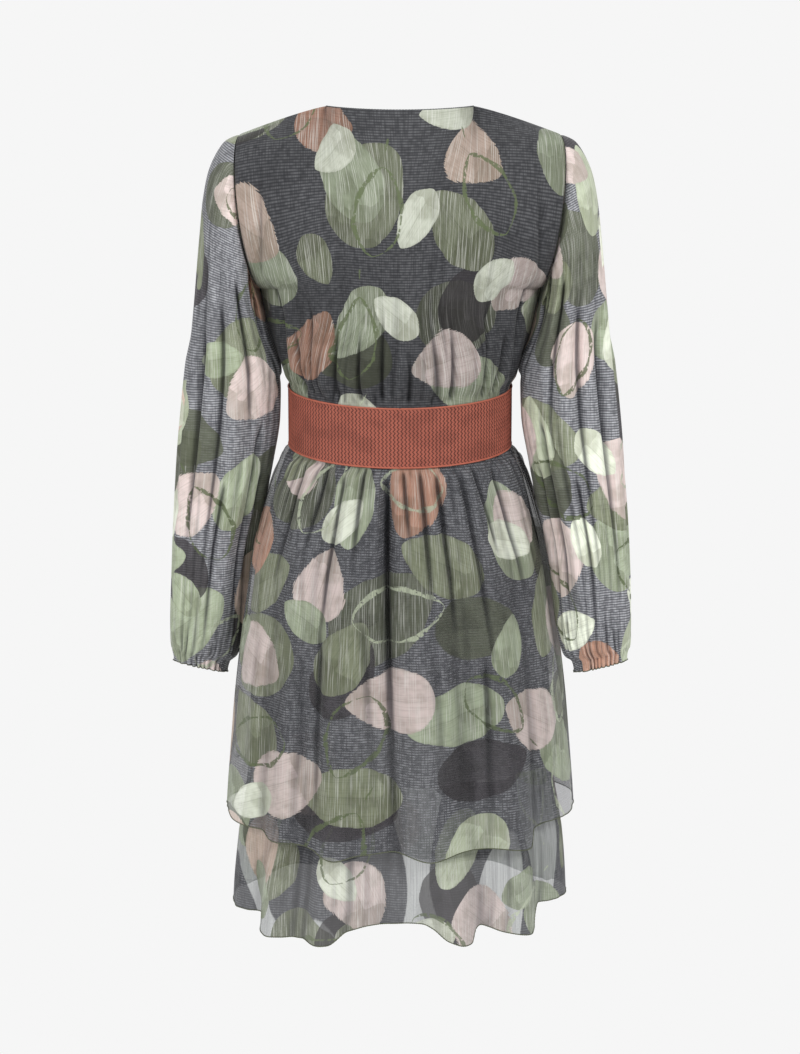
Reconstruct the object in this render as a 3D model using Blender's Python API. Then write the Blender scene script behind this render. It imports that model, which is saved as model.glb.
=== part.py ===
# Wrap dress in thin woven cloth, in its worn shape, with its own elastic belt.
# The wearer faces -Y and the wearer's left is +X. The origin lies between the two
# points where the shoulder seams meet the neckline, and everything hangs below it.
# Angles run round the body in degrees: 0 centre back, 90 left side, 180 centre front.

import math
from collections import namedtuple

import bmesh
import bpy
from mathutils import Vector

# Driving sizes, metres
CLOTH = 0.0012             # wall of the dress cloth
ELASTIC = 0.0014           # wall of the belt
SEAM = 0.0003              # gap between two pieces that are sewn together
LAP = 0.0040               # how far the right fronts lie outside the left ones

NECK_HALF = 0.0801         # neckline, half width at the shoulder seams
NECK_BACK = 0.055          # how far centre back lies behind the shoulder seams
NECK_DROP = 0.0036
NECK_FRONT = 0.052
THROAT_DROP = 0.045

TIP_X = 0.1750             # shoulder tip
TIP_Z = -0.0301
SHOULDER_BOW = 1.2         # the shoulder seam's slope grows outwards
UNDERARM_X = 0.1556
UNDERARM_Z = -0.1970
ARMHOLE_DEPTH = 0.060
ARMHOLE_BACK_BULGE = 0.0100
ARMHOLE_FRONT_BULGE = -0.0090

WAIST = 0.3391             # waist seam below the shoulders, at the side
WAIST_DIP = 0.0135         # how much lower it runs at centre back
BELT_HEIGHT = 0.066
BELT_CLEAR = 0.0009        # belt outside the cloth
EDGE_ROLL = 0.0007         # the belt's bound edges stand proud of it
BELT_OUT = 122.0           # the belt steps out over the laps from here, in degrees,
BELT_IN = 240.0            # and is back in here
BELT_STEP = 14.0           # each step takes this many degrees

V_LEVEL = 0.50             # level where the two neckline edges cross at centre front
WRAP_END = -0.404          # how far past centre front each front reaches at the waist
LAP_FULL = 0.04            # the right front is at full lap this far past the left one's edge
LAP_NONE = 0.14            # and lies on the body this far past it
HEM_LAP_FULL = 46.0        # the same on the upper skirt, in degrees past centre front
HEM_LAP_NONE = 56.0

GATHERS = 30               # gathers round the waist
GATHER_DEPTH = 0.0022
GATHER_START = 0.0355      # they start this far from the waist seam, just clear of the belt,
GATHER_RISE = 0.020        # are full after this
GATHER_REACH = 0.060       # and die out over this
FLAT_START = 0.11          # the bodice is round up to this level,
FLAT_RISE = 0.30           # and flat across after this
CUFF_GATHERS = 14
CUFF_GATHER_DEPTH = 0.0010
TIER_TOP = -0.735          # where the lower tier is sewn to the underskirt

# Sections of the skirt: distance below the waist, half width, depth behind and before the sides
Section = namedtuple("Section", "below width back front")
SKIRT = [
    Section(0.000, 0.1225, 0.0930, 0.0900),
    Section(0.034, 0.1226, 0.0932, 0.0902),
    Section(0.044, 0.1325, 0.1010, 0.0960),
    Section(0.058, 0.1380, 0.1075, 0.0995),
    Section(0.075, 0.1444, 0.1130, 0.1030),
    Section(0.118, 0.1570, 0.1230, 0.1100),
    Section(0.150, 0.1656, 0.1300, 0.1150),
    Section(0.200, 0.1729, 0.1375, 0.1190),
    Section(0.254, 0.1812, 0.1425, 0.1235),
    Section(0.326, 0.1899, 0.1460, 0.1300),
    Section(0.385, 0.1948, 0.1490, 0.1360),
    Section(0.445, 0.1994, 0.1530, 0.1410),
    Section(0.500, 0.2017, 0.1550, 0.1440),
    Section(0.600, 0.2039, 0.1570, 0.1460),
]

# How far the underskirt and the lower tier lie inside the upper skirt's section
Inset = namedtuple("Inset", "below inset")
INNER = [
    Inset(0.000, 0.0022),
    Inset(0.040, 0.0060),
    Inset(0.100, 0.0085),
    Inset(0.200, 0.0120),
    Inset(0.300, 0.0175),
    Inset(0.390, 0.0225),
    Inset(0.430, 0.0215),
    Inset(0.480, 0.0150),
    Inset(0.540, 0.0120),
    Inset(0.590, 0.0110),
]

# Folds: place at the waist and at the hem, spread, height there, troughs being negative
Fold = namedtuple("Fold", "top_at hem_at spread top hem")
SKIRT_FOLDS = [
    Fold(5.0, 1.0, 4.2, -0.0090, -0.0060),
    Fold(15.0, 12.0, 6.0, 0.0045, 0.0020),
    Fold(-4.0, -9.0, 6.5, 0.0040, 0.0070),
    Fold(24.0, 23.0, 7.0, 0.0020, 0.0080),
    Fold(33.0, 36.0, 6.0, -0.0040, -0.0070),
    Fold(-21.0, -26.0, 7.0, -0.0035, -0.0080),
    Fold(-32.0, -41.0, 8.0, 0.0030, 0.0070),
    Fold(48.0, 52.0, 5.0, 0.0020, -0.0070),
    Fold(-46.0, -52.0, 5.0, -0.0030, -0.0080),
    Fold(66.0, 70.0, 9.0, 0.0020, 0.0030),
    Fold(-64.0, -70.0, 9.0, 0.0020, 0.0030),
    Fold(108.0, 106.0, 9.0, -0.0030, -0.0070),
    Fold(126.0, 127.0, 9.0, 0.0030, 0.0070),
    Fold(148.0, 150.0, 8.0, -0.0040, -0.0080),
    Fold(168.0, 171.0, 9.0, 0.0030, 0.0070),
    Fold(190.0, 192.0, 8.0, -0.0040, -0.0070),
    Fold(211.0, 213.0, 9.0, 0.0030, 0.0060),
    Fold(234.0, 234.0, 9.0, -0.0030, -0.0080),
    Fold(254.0, 256.0, 8.0, 0.0020, 0.0060),
]
# The lower tier's own waves
TIER_WAVES = [
    Fold(60.0, 60.0, 6.0, -0.0010, -0.0120),
    Fold(48.0, 49.0, 7.0, 0.0010, 0.0120),
    Fold(37.0, 38.0, 6.0, -0.0010, -0.0050),
    Fold(25.0, 27.0, 5.0, 0.0020, 0.0150),
    Fold(10.0, 8.0, 9.0, -0.0010, -0.0120),
    Fold(-8.0, -7.0, 5.0, -0.0005, -0.0080),
    Fold(-18.0, -19.5, 4.5, 0.0020, 0.0150),
    Fold(-29.0, -29.5, 4.5, -0.0010, -0.0110),
    Fold(-43.0, -45.0, 6.0, 0.0015, 0.0130),
    Fold(-57.0, -58.0, 5.5, -0.0010, -0.0110),
    Fold(-74.0, -74.0, 9.0, 0.0010, 0.0060),
    Fold(76.0, 76.0, 8.0, 0.0010, 0.0060),
    Fold(97.0, 96.0, 8.0, -0.0010, -0.0080),
    Fold(116.0, 117.0, 8.0, 0.0015, 0.0120),
    Fold(135.0, 135.0, 8.0, -0.0010, -0.0110),
    Fold(154.0, 155.0, 8.0, 0.0015, 0.0120),
    Fold(174.0, 174.0, 9.0, -0.0010, -0.0120),
    Fold(194.0, 195.0, 8.0, 0.0015, 0.0120),
    Fold(214.0, 214.0, 8.0, -0.0010, -0.0110),
    Fold(235.0, 236.0, 8.0, 0.0015, 0.0130),
    Fold(256.0, 255.0, 7.0, -0.0010, -0.0080),
]

# Lower edges: angle round the body, and height
Edge = namedtuple("Edge", "angle z")
BACK_HEM = [
    Edge(-95.0, -0.7893),
    Edge(-81.0, -0.7893),
    Edge(-60.0, -0.7885),
    Edge(-51.0, -0.7935),
    Edge(-46.0, -0.8110),
    Edge(-30.0, -0.8050),
    Edge(-21.0, -0.8055),
    Edge(-10.0, -0.8115),
    Edge(3.0, -0.8018),
    Edge(13.0, -0.8055),
    Edge(21.0, -0.8130),
    Edge(30.0, -0.8030),
    Edge(46.0, -0.8050),
    Edge(54.0, -0.7966),
    Edge(68.0, -0.7953),
    Edge(81.0, -0.7893),
    Edge(95.0, -0.7893),
]
# A front's hem sweeps up to the waist: degrees past its side seam, and height
FRONT_HEM = [
    Edge(-5.0, -0.7893),
    Edge(5.0, -0.7893),
    Edge(20.0, -0.7870),
    Edge(45.0, -0.7740),
    Edge(65.0, -0.7450),
    Edge(82.0, -0.6900),
    Edge(97.0, -0.6050),
    Edge(110.0, -0.5100),
    Edge(120.0, -0.4250),
    Edge(126.4, -0.3900),
]
TIER_HEM = [
    Edge(-95.0, -0.8935),
    Edge(-88.0, -0.8930),
    Edge(-72.0, -0.8890),
    Edge(-59.0, -0.8895),
    Edge(-52.0, -0.9115),
    Edge(-47.0, -0.9125),
    Edge(-38.0, -0.9080),
    Edge(-32.0, -0.9010),
    Edge(-28.5, -0.8975),
    Edge(-26.5, -0.9000),
    Edge(-24.0, -0.9130),
    Edge(-16.0, -0.9075),
    Edge(-11.0, -0.8950),
    Edge(-8.0, -0.8905),
    Edge(-1.5, -0.8880),
    Edge(10.0, -0.8930),
    Edge(18.0, -0.9000),
    Edge(24.0, -0.9140),
    Edge(31.0, -0.9138),
    Edge(46.0, -0.9165),
    Edge(53.0, -0.9135),
    Edge(58.0, -0.9010),
    Edge(68.0, -0.9030),
    Edge(77.0, -0.9010),
    Edge(90.0, -0.8950),
    Edge(117.0, -0.9150),
    Edge(135.0, -0.8980),
    Edge(155.0, -0.9140),
    Edge(174.0, -0.8960),
    Edge(195.0, -0.9150),
    Edge(214.0, -0.8980),
    Edge(236.0, -0.9140),
    Edge(256.0, -0.8960),
    Edge(265.0, -0.8935),
    Edge(272.0, -0.8930),
]

# Sections of the bodice: level from the waist (0) to the shoulders (1), half width, depths
Level = namedtuple("Level", "level width back front")
BODICE = [
    Level(0.00, 0.1225, 0.0930, 0.0900),
    Level(0.11, 0.1228, 0.0935, 0.0905),
    Level(0.15, 0.1285, 0.0985, 0.0960),
    Level(0.20, 0.1345, 0.1030, 0.1030),
    Level(0.30, 0.1455, 0.1070, 0.1150),
    Level(0.40, 0.1525, 0.1095, 0.1205),
    Level(0.47, 0.1560, 0.1105, 0.1200),
    Level(0.60, 0.1630, 0.1110, 0.1120),
    Level(0.75, 0.1700, 0.1060, 0.0980),
    Level(0.88, 0.1735, 0.0880, 0.0780),
    Level(1.00, 0.1750, 0.0550, 0.0520),
]
# Their places are parts of the half width, and they fade out above the bust
BODICE_FOLDS = [
    Fold(0.06, 0.02, 0.055, -0.0055, -0.0010),
    Fold(0.17, 0.22, 0.070, 0.0045, 0.0010),
    Fold(-0.08, -0.11, 0.060, 0.0045, 0.0010),
    Fold(-0.22, -0.30, 0.060, -0.0040, -0.0010),
    Fold(0.31, 0.38, 0.060, -0.0045, -0.0010),
    Fold(-0.38, -0.46, 0.070, 0.0035, 0.0010),
    Fold(0.47, 0.55, 0.070, 0.0035, 0.0010),
    Fold(-0.60, -0.74, 0.060, -0.0040, -0.0030),
    Fold(0.63, 0.76, 0.060, -0.0040, -0.0030),
]
# Rows of the grids: levels of the bodice, and the skirt's first distances below the waist
SKIRT_ROWS = [0.0, 0.0340, 0.0440, 0.0580, 0.0800]
BODICE_ROWS = [0.0, 0.105, 0.14, 0.18, 0.25, 0.36, 0.48, 0.62, 0.76, 0.87, 0.95, 1.0]

# Rings of a sleeve: its outermost and innermost point, and its half depth
Ring = namedtuple("Ring", "run out_x out_z in_x in_z depth")
SLEEVE = [
    Ring(0.00, 0.1750, -0.0301, 0.1556, -0.1970, 0.0600),
    Ring(0.06, 0.1900, -0.0368, 0.1564, -0.2060, 0.0665),
    Ring(0.13, 0.2095, -0.0690, 0.1562, -0.2160, 0.0700),
    Ring(0.20, 0.2166, -0.1020, 0.1540, -0.2290, 0.0705),
    Ring(0.28, 0.2232, -0.1540, 0.1480, -0.2520, 0.0695),
    Ring(0.36, 0.2295, -0.2120, 0.1392, -0.2800, 0.0670),
    Ring(0.44, 0.2362, -0.2700, 0.1340, -0.3100, 0.0635),
    Ring(0.52, 0.2430, -0.3250, 0.1352, -0.3450, 0.0600),
    Ring(0.60, 0.2500, -0.3850, 0.1430, -0.3930, 0.0575),
    Ring(0.68, 0.2557, -0.4410, 0.1553, -0.4430, 0.0540),
    Ring(0.76, 0.2612, -0.5000, 0.1700, -0.5000, 0.0500),
    Ring(0.85, 0.2657, -0.5600, 0.1790, -0.5600, 0.0460),
    Ring(0.92, 0.2672, -0.5950, 0.1855, -0.6020, 0.0430),
    Ring(0.97, 0.2668, -0.6130, 0.1915, -0.6240, 0.0385),
    Ring(1.00, 0.2652, -0.6205, 0.1995, -0.6335, 0.0335),
]
CUFF_FOOT = Ring(1.10, 0.2636, -0.6320, 0.2030, -0.6455, 0.0305)
# How far each wrist lies behind the shoulder, is raised, and is moved towards the body
Hang = namedtuple("Hang", "back rise inward")
HANG = {"left": Hang(-0.036, 0.0, 0.0), "right": Hang(0.050, 0.0105, 0.0095)}
SLEEVE_FOLDS = [
    Fold(80.0, 66.0, 15.0, -0.0010, -0.0050),
    Fold(112.0, 100.0, 16.0, 0.0010, 0.0040),
    Fold(46.0, 34.0, 14.0, 0.0010, 0.0040),
    Fold(250.0, 262.0, 16.0, -0.0010, -0.0050),
    Fold(300.0, 312.0, 16.0, 0.0010, 0.0040),
]

CLOTH_COLOUR = (0.118, 0.122, 0.120)
BELT_COLOUR = (0.292, 0.090, 0.063)

LEFT = 1.0
RIGHT = -1.0
BACK = 1.0
FRONT = -1.0
NECK = NECK_HALF / TIP_X                                  # neck point along the shoulder
UNDERARM = (WAIST + UNDERARM_Z) / (WAIST + TIP_Z)         # level of the underarm
V_SLOPE = (1.0 - V_LEVEL) / NECK                          # levels that a neckline edge climbs


def smooth(x):
    x = min(max(x, 0.0), 1.0)
    return x * x * (3.0 - 2.0 * x)


def shared_slope(before, after):
    # slope of the curve at a row, which never overshoots the rows
    return 2.0 * before * after / (before + after) if before * after > 0.0 else 0.0


def read(table, column, at):
    # a column's value on the smooth curve through a table, keyed by its first column
    keys = [row[0] for row in table]
    values = [getattr(row, column) for row in table]
    at = min(max(at, keys[0]), keys[-1])
    i = max(k for k in range(len(keys) - 1) if keys[k] <= at)
    slopes = [(values[k + 1] - values[k]) / (keys[k + 1] - keys[k]) for k in range(len(keys) - 1)]
    before = slopes[max(i - 1, 0)]
    after = slopes[min(i + 1, len(slopes) - 1)]
    start = shared_slope(before, slopes[i])
    stop = shared_slope(slopes[i], after)
    step = keys[i + 1] - keys[i]
    x = (at - keys[i]) / step
    y = 1.0 - x
    return (values[i] * y * y * (1.0 + 2.0 * x) + values[i + 1] * x * x * (3.0 - 2.0 * x)
            + step * x * y * (start * y - stop * x))


def folds(table, at, down, turn=360.0):
    # heights of all folds at a place; down runs from 0 to 1, top to hem
    total = 0.0
    for fold in table:
        away = at - fold.top_at - (fold.hem_at - fold.top_at) * down
        away -= turn * round(away / turn)
        height = fold.top + (fold.hem - fold.top) * down
        total += height * math.exp(-(away / fold.spread) ** 2)
    return total


def around(angle):
    # horizontal direction at an angle round the body
    return Vector((math.sin(math.radians(angle)), math.cos(math.radians(angle)), 0.0))


def waist_z(angle):
    # lower at centre back than at the sides, and a little higher at centre front
    behind = around(angle).y
    return -WAIST - WAIST_DIP * behind * (1.0 - 0.5 * smooth(-behind))


def gathers(angle, away):
    # fine gathers next to the belt, which die out away from the waist
    a = math.radians(angle)
    past = max(away - GATHER_START, 0.0)
    size = GATHER_DEPTH * smooth(past / GATHER_RISE) * math.exp(-past / GATHER_REACH)
    wave = math.sin(GATHERS * a + 1.4 * math.sin(3.0 * a) + 0.8 * math.sin(7.0 * a + 1.0))
    uneven = 0.62 + 0.38 * math.sin(5.0 * a + 0.6)
    wrapped = 1.0 - 0.6 * smooth(-0.5 - 2.0 * math.cos(a))
    return size * wave * uneven * wrapped


def section_point(angle, z, out):
    # a point of the skirt's section, moved out square to it
    below = waist_z(angle) - z
    way = around(angle)
    width = read(SKIRT, "width", below)
    depth = read(SKIRT, "back" if way.y > 0.0 else "front", below)
    square = Vector((way.x / width, way.y / depth, 0.0)).normalized()
    return Vector((width * way.x, depth * way.y, z)) + out * square


def skirt_folds(angle, z):
    past = waist_z(angle) - z - 0.034
    down = min(max(past / 0.43, 0.0), 1.0)
    return folds(SKIRT_FOLDS, angle, down) * smooth(past / 0.04)


def overlay_point(angle, z, out=0.0):
    return section_point(angle, z, out + skirt_folds(angle, z) + gathers(angle, waist_z(angle) - z))


def underskirt_point(angle, z):
    below = waist_z(angle) - z
    out = skirt_folds(angle, z) + 0.5 * gathers(angle, below) - read(INNER, "inset", below)
    return section_point(angle, z, out)


def tier_point(angle, z):
    down = min(max((TIER_TOP - z) / 0.19, 0.0), 1.0)
    waves = folds(TIER_WAVES, angle, down) * smooth(down / 0.2)
    own = smooth((-0.79 - z) / 0.09)
    out = skirt_folds(angle, z) * (1.0 - own) + waves * (0.35 + 0.65 * own)
    return section_point(angle, z, out - read(INNER, "inset", waist_z(angle) - z))


def armhole(phi, face):
    # phi is 0 at the shoulder tip and 180 at the underarm
    c = math.cos(math.radians(phi))
    s = math.sin(math.radians(phi))
    bulge = ARMHOLE_BACK_BULGE if face == BACK else ARMHOLE_FRONT_BULGE
    x = 0.5 * (TIP_X + UNDERARM_X) + 0.5 * (TIP_X - UNDERARM_X) * c + bulge * s
    z = 0.5 * (TIP_Z + UNDERARM_Z) + 0.5 * (TIP_Z - UNDERARM_Z) * c
    return Vector((x, face * ARMHOLE_DEPTH * s, z))


def armhole_phi(level):
    return 180.0 * (1.0 - (level - UNDERARM) / (1.0 - UNDERARM))


def armhole_square(phi, face):
    # direction from the armhole's middle to its edge
    c = math.cos(math.radians(phi))
    s = math.sin(math.radians(phi))
    x = 0.5 * (TIP_X - UNDERARM_X) * c
    z = 0.5 * (TIP_Z - UNDERARM_Z) * c
    return Vector((x, face * ARMHOLE_DEPTH * s, z)).normalized()


def side_edge(level, face):
    # left edge of the bodice: side seam, then armhole up to the shoulder tip
    if level > UNDERARM:
        return armhole(armhole_phi(level), face)
    rise = level / UNDERARM
    x = read(BODICE, "width", level) + (UNDERARM_X - read(BODICE, "width", UNDERARM)) * smooth(rise)
    return Vector((x, 0.0, -WAIST + (WAIST + UNDERARM_Z) * rise))


def top_edge(across, face):
    # shoulder seam and neckline; across is 1 at the left shoulder tip
    if abs(across) >= NECK:
        out = (abs(across) - NECK) / (1.0 - NECK)
        return Vector((across * TIP_X, 0.0, TIP_Z * out ** SHOULDER_BOW))
    way = around(90.0 * across / NECK)
    depth = NECK_BACK if face == BACK else NECK_FRONT
    drop = NECK_DROP if face == BACK else THROAT_DROP
    return Vector((NECK_HALF * way.x, face * depth * way.y, -drop * way.y ** 2))


def body_angle(across, face):
    return 90.0 * across if face == BACK else 180.0 - 90.0 * across


def plain_body(across, level, face):
    # round at the waist and flat across the back or chest, with its sides at the armholes
    way = around(90.0 * across)
    width = read(BODICE, "width", level)
    depth = read(BODICE, "back" if face == BACK else "front", level)
    side = abs(side_edge(level, face).y)
    flat = smooth((level - FLAT_START) / FLAT_RISE)
    x = width * (way.x + (across - way.x) * flat)
    curve = way.y + ((1.0 - abs(across) ** 2.6) ** 0.62 - way.y) * flat
    low = waist_z(body_angle(across, face))
    z = low + (top_edge(across, face).z - low) * level
    return Vector((x, face * (side + (depth - side) * curve), z))


def side_shift(level, face, hand):
    # from the plain body to the true side edge
    shift = side_edge(level, face) - plain_body(1.0, level, face)
    return Vector((hand * shift.x, 0.0, shift.z))


def bodice_point(across, level, face, out=0.0):
    across = min(max(across, -1.0), 1.0)
    level = min(max(level, 0.0), 1.0)
    hand = LEFT if across > 0.0 else RIGHT
    near_side = smooth((abs(across) - 0.35) / 0.65)
    point = plain_body(across, level, face) + side_shift(level, face, hand) * near_side
    end = plain_body(across, 1.0, face) + side_shift(1.0, face, hand) * near_side
    point += (top_edge(across, face) - end) * smooth((level - 0.72) / 0.28)
    angle = body_angle(across, face)
    away = point.z - waist_z(angle)
    fade = smooth((away - GATHER_START) / 0.025) * (1.0 - smooth((level - 0.35) / 0.40))
    height = folds(BODICE_FOLDS, across, smooth(level / 0.6), 10.0) * fade + gathers(angle, away)
    height *= 1.0 - smooth((abs(across) - 0.88) / 0.12)
    return point + (height + out) * around(angle)


def wrap_edge(across):
    # level of the left front's free edge; the right front's is its mirror
    return V_LEVEL + V_SLOPE * across


def front_lap(across, level):
    past = level - wrap_edge(across)
    return LAP * smooth((LAP_NONE - past) / (LAP_NONE - LAP_FULL))


def hem_lap(angle):
    return LAP * smooth((180.0 + HEM_LAP_NONE - angle) / (HEM_LAP_NONE - HEM_LAP_FULL))


def row_level(v, rows):
    at = min(max(v, 0.0), 1.0) * (len(rows) - 1)
    i = min(int(at), len(rows) - 2)
    return rows[i] + (rows[i + 1] - rows[i]) * (at - i)


def bodice_level(v, rise):
    # level of a row in a column that ends at rise; the first row stays just above the belt
    row = row_level(v, BODICE_ROWS)
    first = BODICE_ROWS[1]
    knee = min(first, 0.9 * rise)
    if row <= first:
        return knee * row / first
    return knee + (rise - knee) * (row - first) / (1.0 - first)


def between(u, stops):
    # a value at u on straight runs between stops
    i = max(k for k in range(len(stops) - 1) if stops[k][0] <= max(u, 0.0))
    start, stop = stops[i], stops[i + 1]
    return start[1] + (stop[1] - start[1]) * (u - start[0]) / (stop[0] - start[0])


def square_to(place, u, v, flipped):
    # direction square to a surface
    step = 1e-3
    along = place(u + step, v) - place(u - step, v)
    across = place(u, v + step) - place(u, v - step)
    square = along.cross(across).normalized()
    return -square if flipped else square


def armhole_rim(own, phi, face, hand):
    # the wall's direction where a sleeve meets the bodice, from its own and the armhole's
    square = armhole_square(phi, face)
    square.x *= hand
    share = 0.35 + 0.325 * (1.0 - math.cos(math.radians(phi)))
    return (own * share + square).normalized()


def painted(name, colour, roughness):
    material = bpy.data.materials.new(name)
    material.use_nodes = True
    shader = material.node_tree.nodes["Principled BSDF"]
    shader.inputs["Base Color"].default_value = (*colour, 1.0)
    shader.inputs["Roughness"].default_value = roughness
    shader.inputs["Metallic"].default_value = 0.0
    return material


def cloth_wall(name, columns, rows, place, square, flipped, wall=CLOTH, closed=False, colour=CLOTH_COLOUR):
    # a grid laid on the piece's outer face, copied inwards by the wall and closed along its rims
    sheet = bmesh.new()
    inward = sheet.verts.layers.float_vector.new("inward")
    bmesh.ops.create_grid(sheet, x_segments=columns, y_segments=rows, size=0.5)
    for vert in sheet.verts:
        u = vert.co.x + 0.5
        v = vert.co.y + 0.5
        vert[inward] = square(u, v) * -wall
        vert.co = place(u, v)
    if closed:
        bmesh.ops.remove_doubles(sheet, verts=sheet.verts[:], dist=1e-6)
    outer = sheet.verts[:]
    rims = [edge.link_loops[0] for edge in sheet.edges if edge.is_boundary]
    corners = [(loop.link_loop_next.vert, loop.vert) for loop in rims]
    copied = bmesh.ops.duplicate(sheet, geom=sheet.faces[:])
    twin = copied["vert_map"]
    for vert in outer:
        twin[vert].co = vert.co + vert[inward]
    inner = [item for item in copied["geom"] if isinstance(item, bmesh.types.BMFace)]
    bmesh.ops.reverse_faces(sheet, faces=inner)
    for start, stop in corners:
        sheet.faces.new((start, stop, twin[stop], twin[start]))
    if flipped:
        bmesh.ops.reverse_faces(sheet, faces=sheet.faces[:])
    mesh = bpy.data.meshes.new(name)
    sheet.to_mesh(mesh)
    sheet.free()
    mesh.shade_smooth()
    piece = bpy.data.objects.new(name, mesh)
    mesh.materials.append(painted(name, colour, 0.8))
    piece.parent = shoulders
    bpy.context.collection.objects.link(piece)
    return piece


def build_bodice(name, face, hand, columns, stops, rise, lap):
    # hand turns the front's columns round for the right side
    shift = Vector((0.0, 0.5 * face * SEAM, 0.5 * SEAM))
    flipped = hand == LEFT

    def where(u, v):
        across = between(u, stops)
        return hand * across, bodice_level(v, rise(across))

    def place(u, v):
        across, level = where(u, v)
        return bodice_point(across, level, face, lap(across, level)) + shift

    def square(u, v):
        across, level = where(u, v)
        side = LEFT if across > 0.0 else RIGHT
        if v < 1e-4:
            return around(body_angle(across, face))
        if abs(across) > 1.0 - 1e-4 and level < UNDERARM:
            return Vector((side, 0.0, 0.0))
        if level > 1.0 - 1e-4 and abs(across) > NECK - 1e-4:
            return Vector((side * -TIP_Z, 0.0, TIP_X - NECK_HALF)).normalized()
        edge = min(max(v, 1e-3), 1.0 - 1e-3)
        own = square_to(place, min(max(u, 1e-3), 1.0 - 1e-3), edge, flipped)
        if abs(across) > 1.0 - 1e-4:
            return armhole_rim(own, armhole_phi(level), face, side)
        return own

    cloth_wall(name, columns, len(BODICE_ROWS) - 1, place, square, flipped)


def seam_turn(angle, z):
    # half a seam's gap at a side seam, in degrees
    return math.degrees(0.5 * SEAM / read(SKIRT, "front", waist_z(angle) - z))


def skirt_drop(v, rows, length):
    # distance below the top of a column: close rows next to the belt, then even ones
    near = len(SKIRT_ROWS) - 1
    first = SKIRT_ROWS[1]
    knee = min(first, 0.9 * length)
    shrink = min((length - knee) / (0.10 - first), 1.0)
    at = max(v, 0.0) * rows
    row = row_level(at / near, SKIRT_ROWS)
    if row <= first:
        return knee * row / first
    drop = knee + shrink * (row - first)
    return drop + (length - drop) * max(at - near, 0.0) / (rows - near)


def build_skirt_piece(name, start, turn, columns, rows, top, hem, surface, open_end=False):
    # start is the first side seam and turn the way round from it; a free end needs no seam gap
    flipped = turn < 0.0

    def place(u, v):
        nominal = start + turn * u
        high = top(nominal)
        length = high - hem(nominal, abs(turn) * u)
        z = high - (v * length if name.startswith("flounce") else skirt_drop(v, rows, length))
        inset = seam_turn(nominal, z) * (1.0 - u if open_end else 1.0 - 2.0 * u)
        return surface(nominal + math.copysign(1.0, turn) * inset, z)

    def square(u, v):
        flat = square_to(place, u, max(v, 1e-3), flipped)
        if v < 1e-4:
            flat.z = 0.0
        return flat.normalized()

    cloth_wall(name, columns, rows, place, square, flipped)


def sleeve_ring(ring, phi, hang, out=0.0):
    # a point of a left sleeve's ring; phi is 0 outermost, 90 behind and 180 innermost
    c = math.cos(math.radians(phi))
    s = math.sin(math.radians(phi))
    middle = Vector((0.5 * (ring.out_x + ring.in_x), 0.0, 0.5 * (ring.out_z + ring.in_z)))
    half = Vector((0.5 * (ring.out_x - ring.in_x), 0.0, 0.5 * (ring.out_z - ring.in_z)))
    swing = max((-0.14 - middle.z) / 0.50, 0.0) ** 1.1
    outer_shift = hang.inward * swing
    inner_shift = hang.inward * swing ** 3
    half.x -= 0.5 * (outer_shift - inner_shift)
    middle += Vector((-0.5 * (outer_shift + inner_shift), hang.back * swing, hang.rise * swing))
    way = half.normalized() * c + Vector((0.0, s, 0.0))
    return middle + half * c + Vector((0.0, ring.depth * s, 0.0)) + way * out


def ring_square(own, ring, hand):
    # a wall's direction kept in the plane of a ring
    axis = Vector((hand * (ring.in_z - ring.out_z), 0.0, ring.out_x - ring.in_x)).normalized()
    return (own - axis * own.dot(axis)).normalized()


def build_sleeve(side, hand, columns, rows):
    hang = HANG[side]
    flipped = hand == LEFT

    def place(u, v):
        phi = 360.0 * u
        run = min(max(v, -0.001), 1.0)
        ring = Ring(run, *(read(SLEEVE, column, run) for column in Ring._fields[1:]))
        out = folds(SLEEVE_FOLDS, phi, run) * smooth((run - 0.05) / 0.25) * smooth((1.0 - run) / 0.12)
        point = sleeve_ring(ring, phi, hang, out)
        s = math.sin(math.radians(phi))
        bulge = ARMHOLE_BACK_BULGE if s > 0.0 else ARMHOLE_FRONT_BULGE
        point.x += bulge * abs(s) * (1.0 - smooth(run / 0.12)) + SEAM
        point.x *= hand
        return point

    def square(u, v):
        own = square_to(place, u, min(max(v, 1e-3), 1.0 - 1e-3), flipped)
        if v > 1.0 - 1e-4:
            return ring_square(own, SLEEVE[-1], hand)
        if v > 1e-4:
            return own
        phi = 360.0 * u
        if phi <= 180.0:
            return armhole_rim(own, phi, BACK, hand)
        return armhole_rim(own, 360.0 - phi, FRONT, hand)

    cloth_wall("sleeve_" + side, columns, rows, place, square, flipped, closed=True)


def build_cuff(side, hand, columns):
    hang = HANG[side]
    top = SLEEVE[-1]

    def place(u, v):
        phi = 360.0 * u
        ring = Ring(v, *(a + (b - a) * v for a, b in zip(top[1:], CUFF_FOOT[1:])))
        wave = CUFF_GATHER_DEPTH * math.sin(math.radians(CUFF_GATHERS * phi))
        point = sleeve_ring(ring, phi, hang, wave)
        return Vector((hand * (point.x + SEAM), point.y, point.z - SEAM))

    def square(u, v):
        return ring_square(square_to(place, u, v, hand == LEFT), top, hand)

    cloth_wall("cuff_" + side, columns, 1, place, square, hand == LEFT, closed=True)


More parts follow.
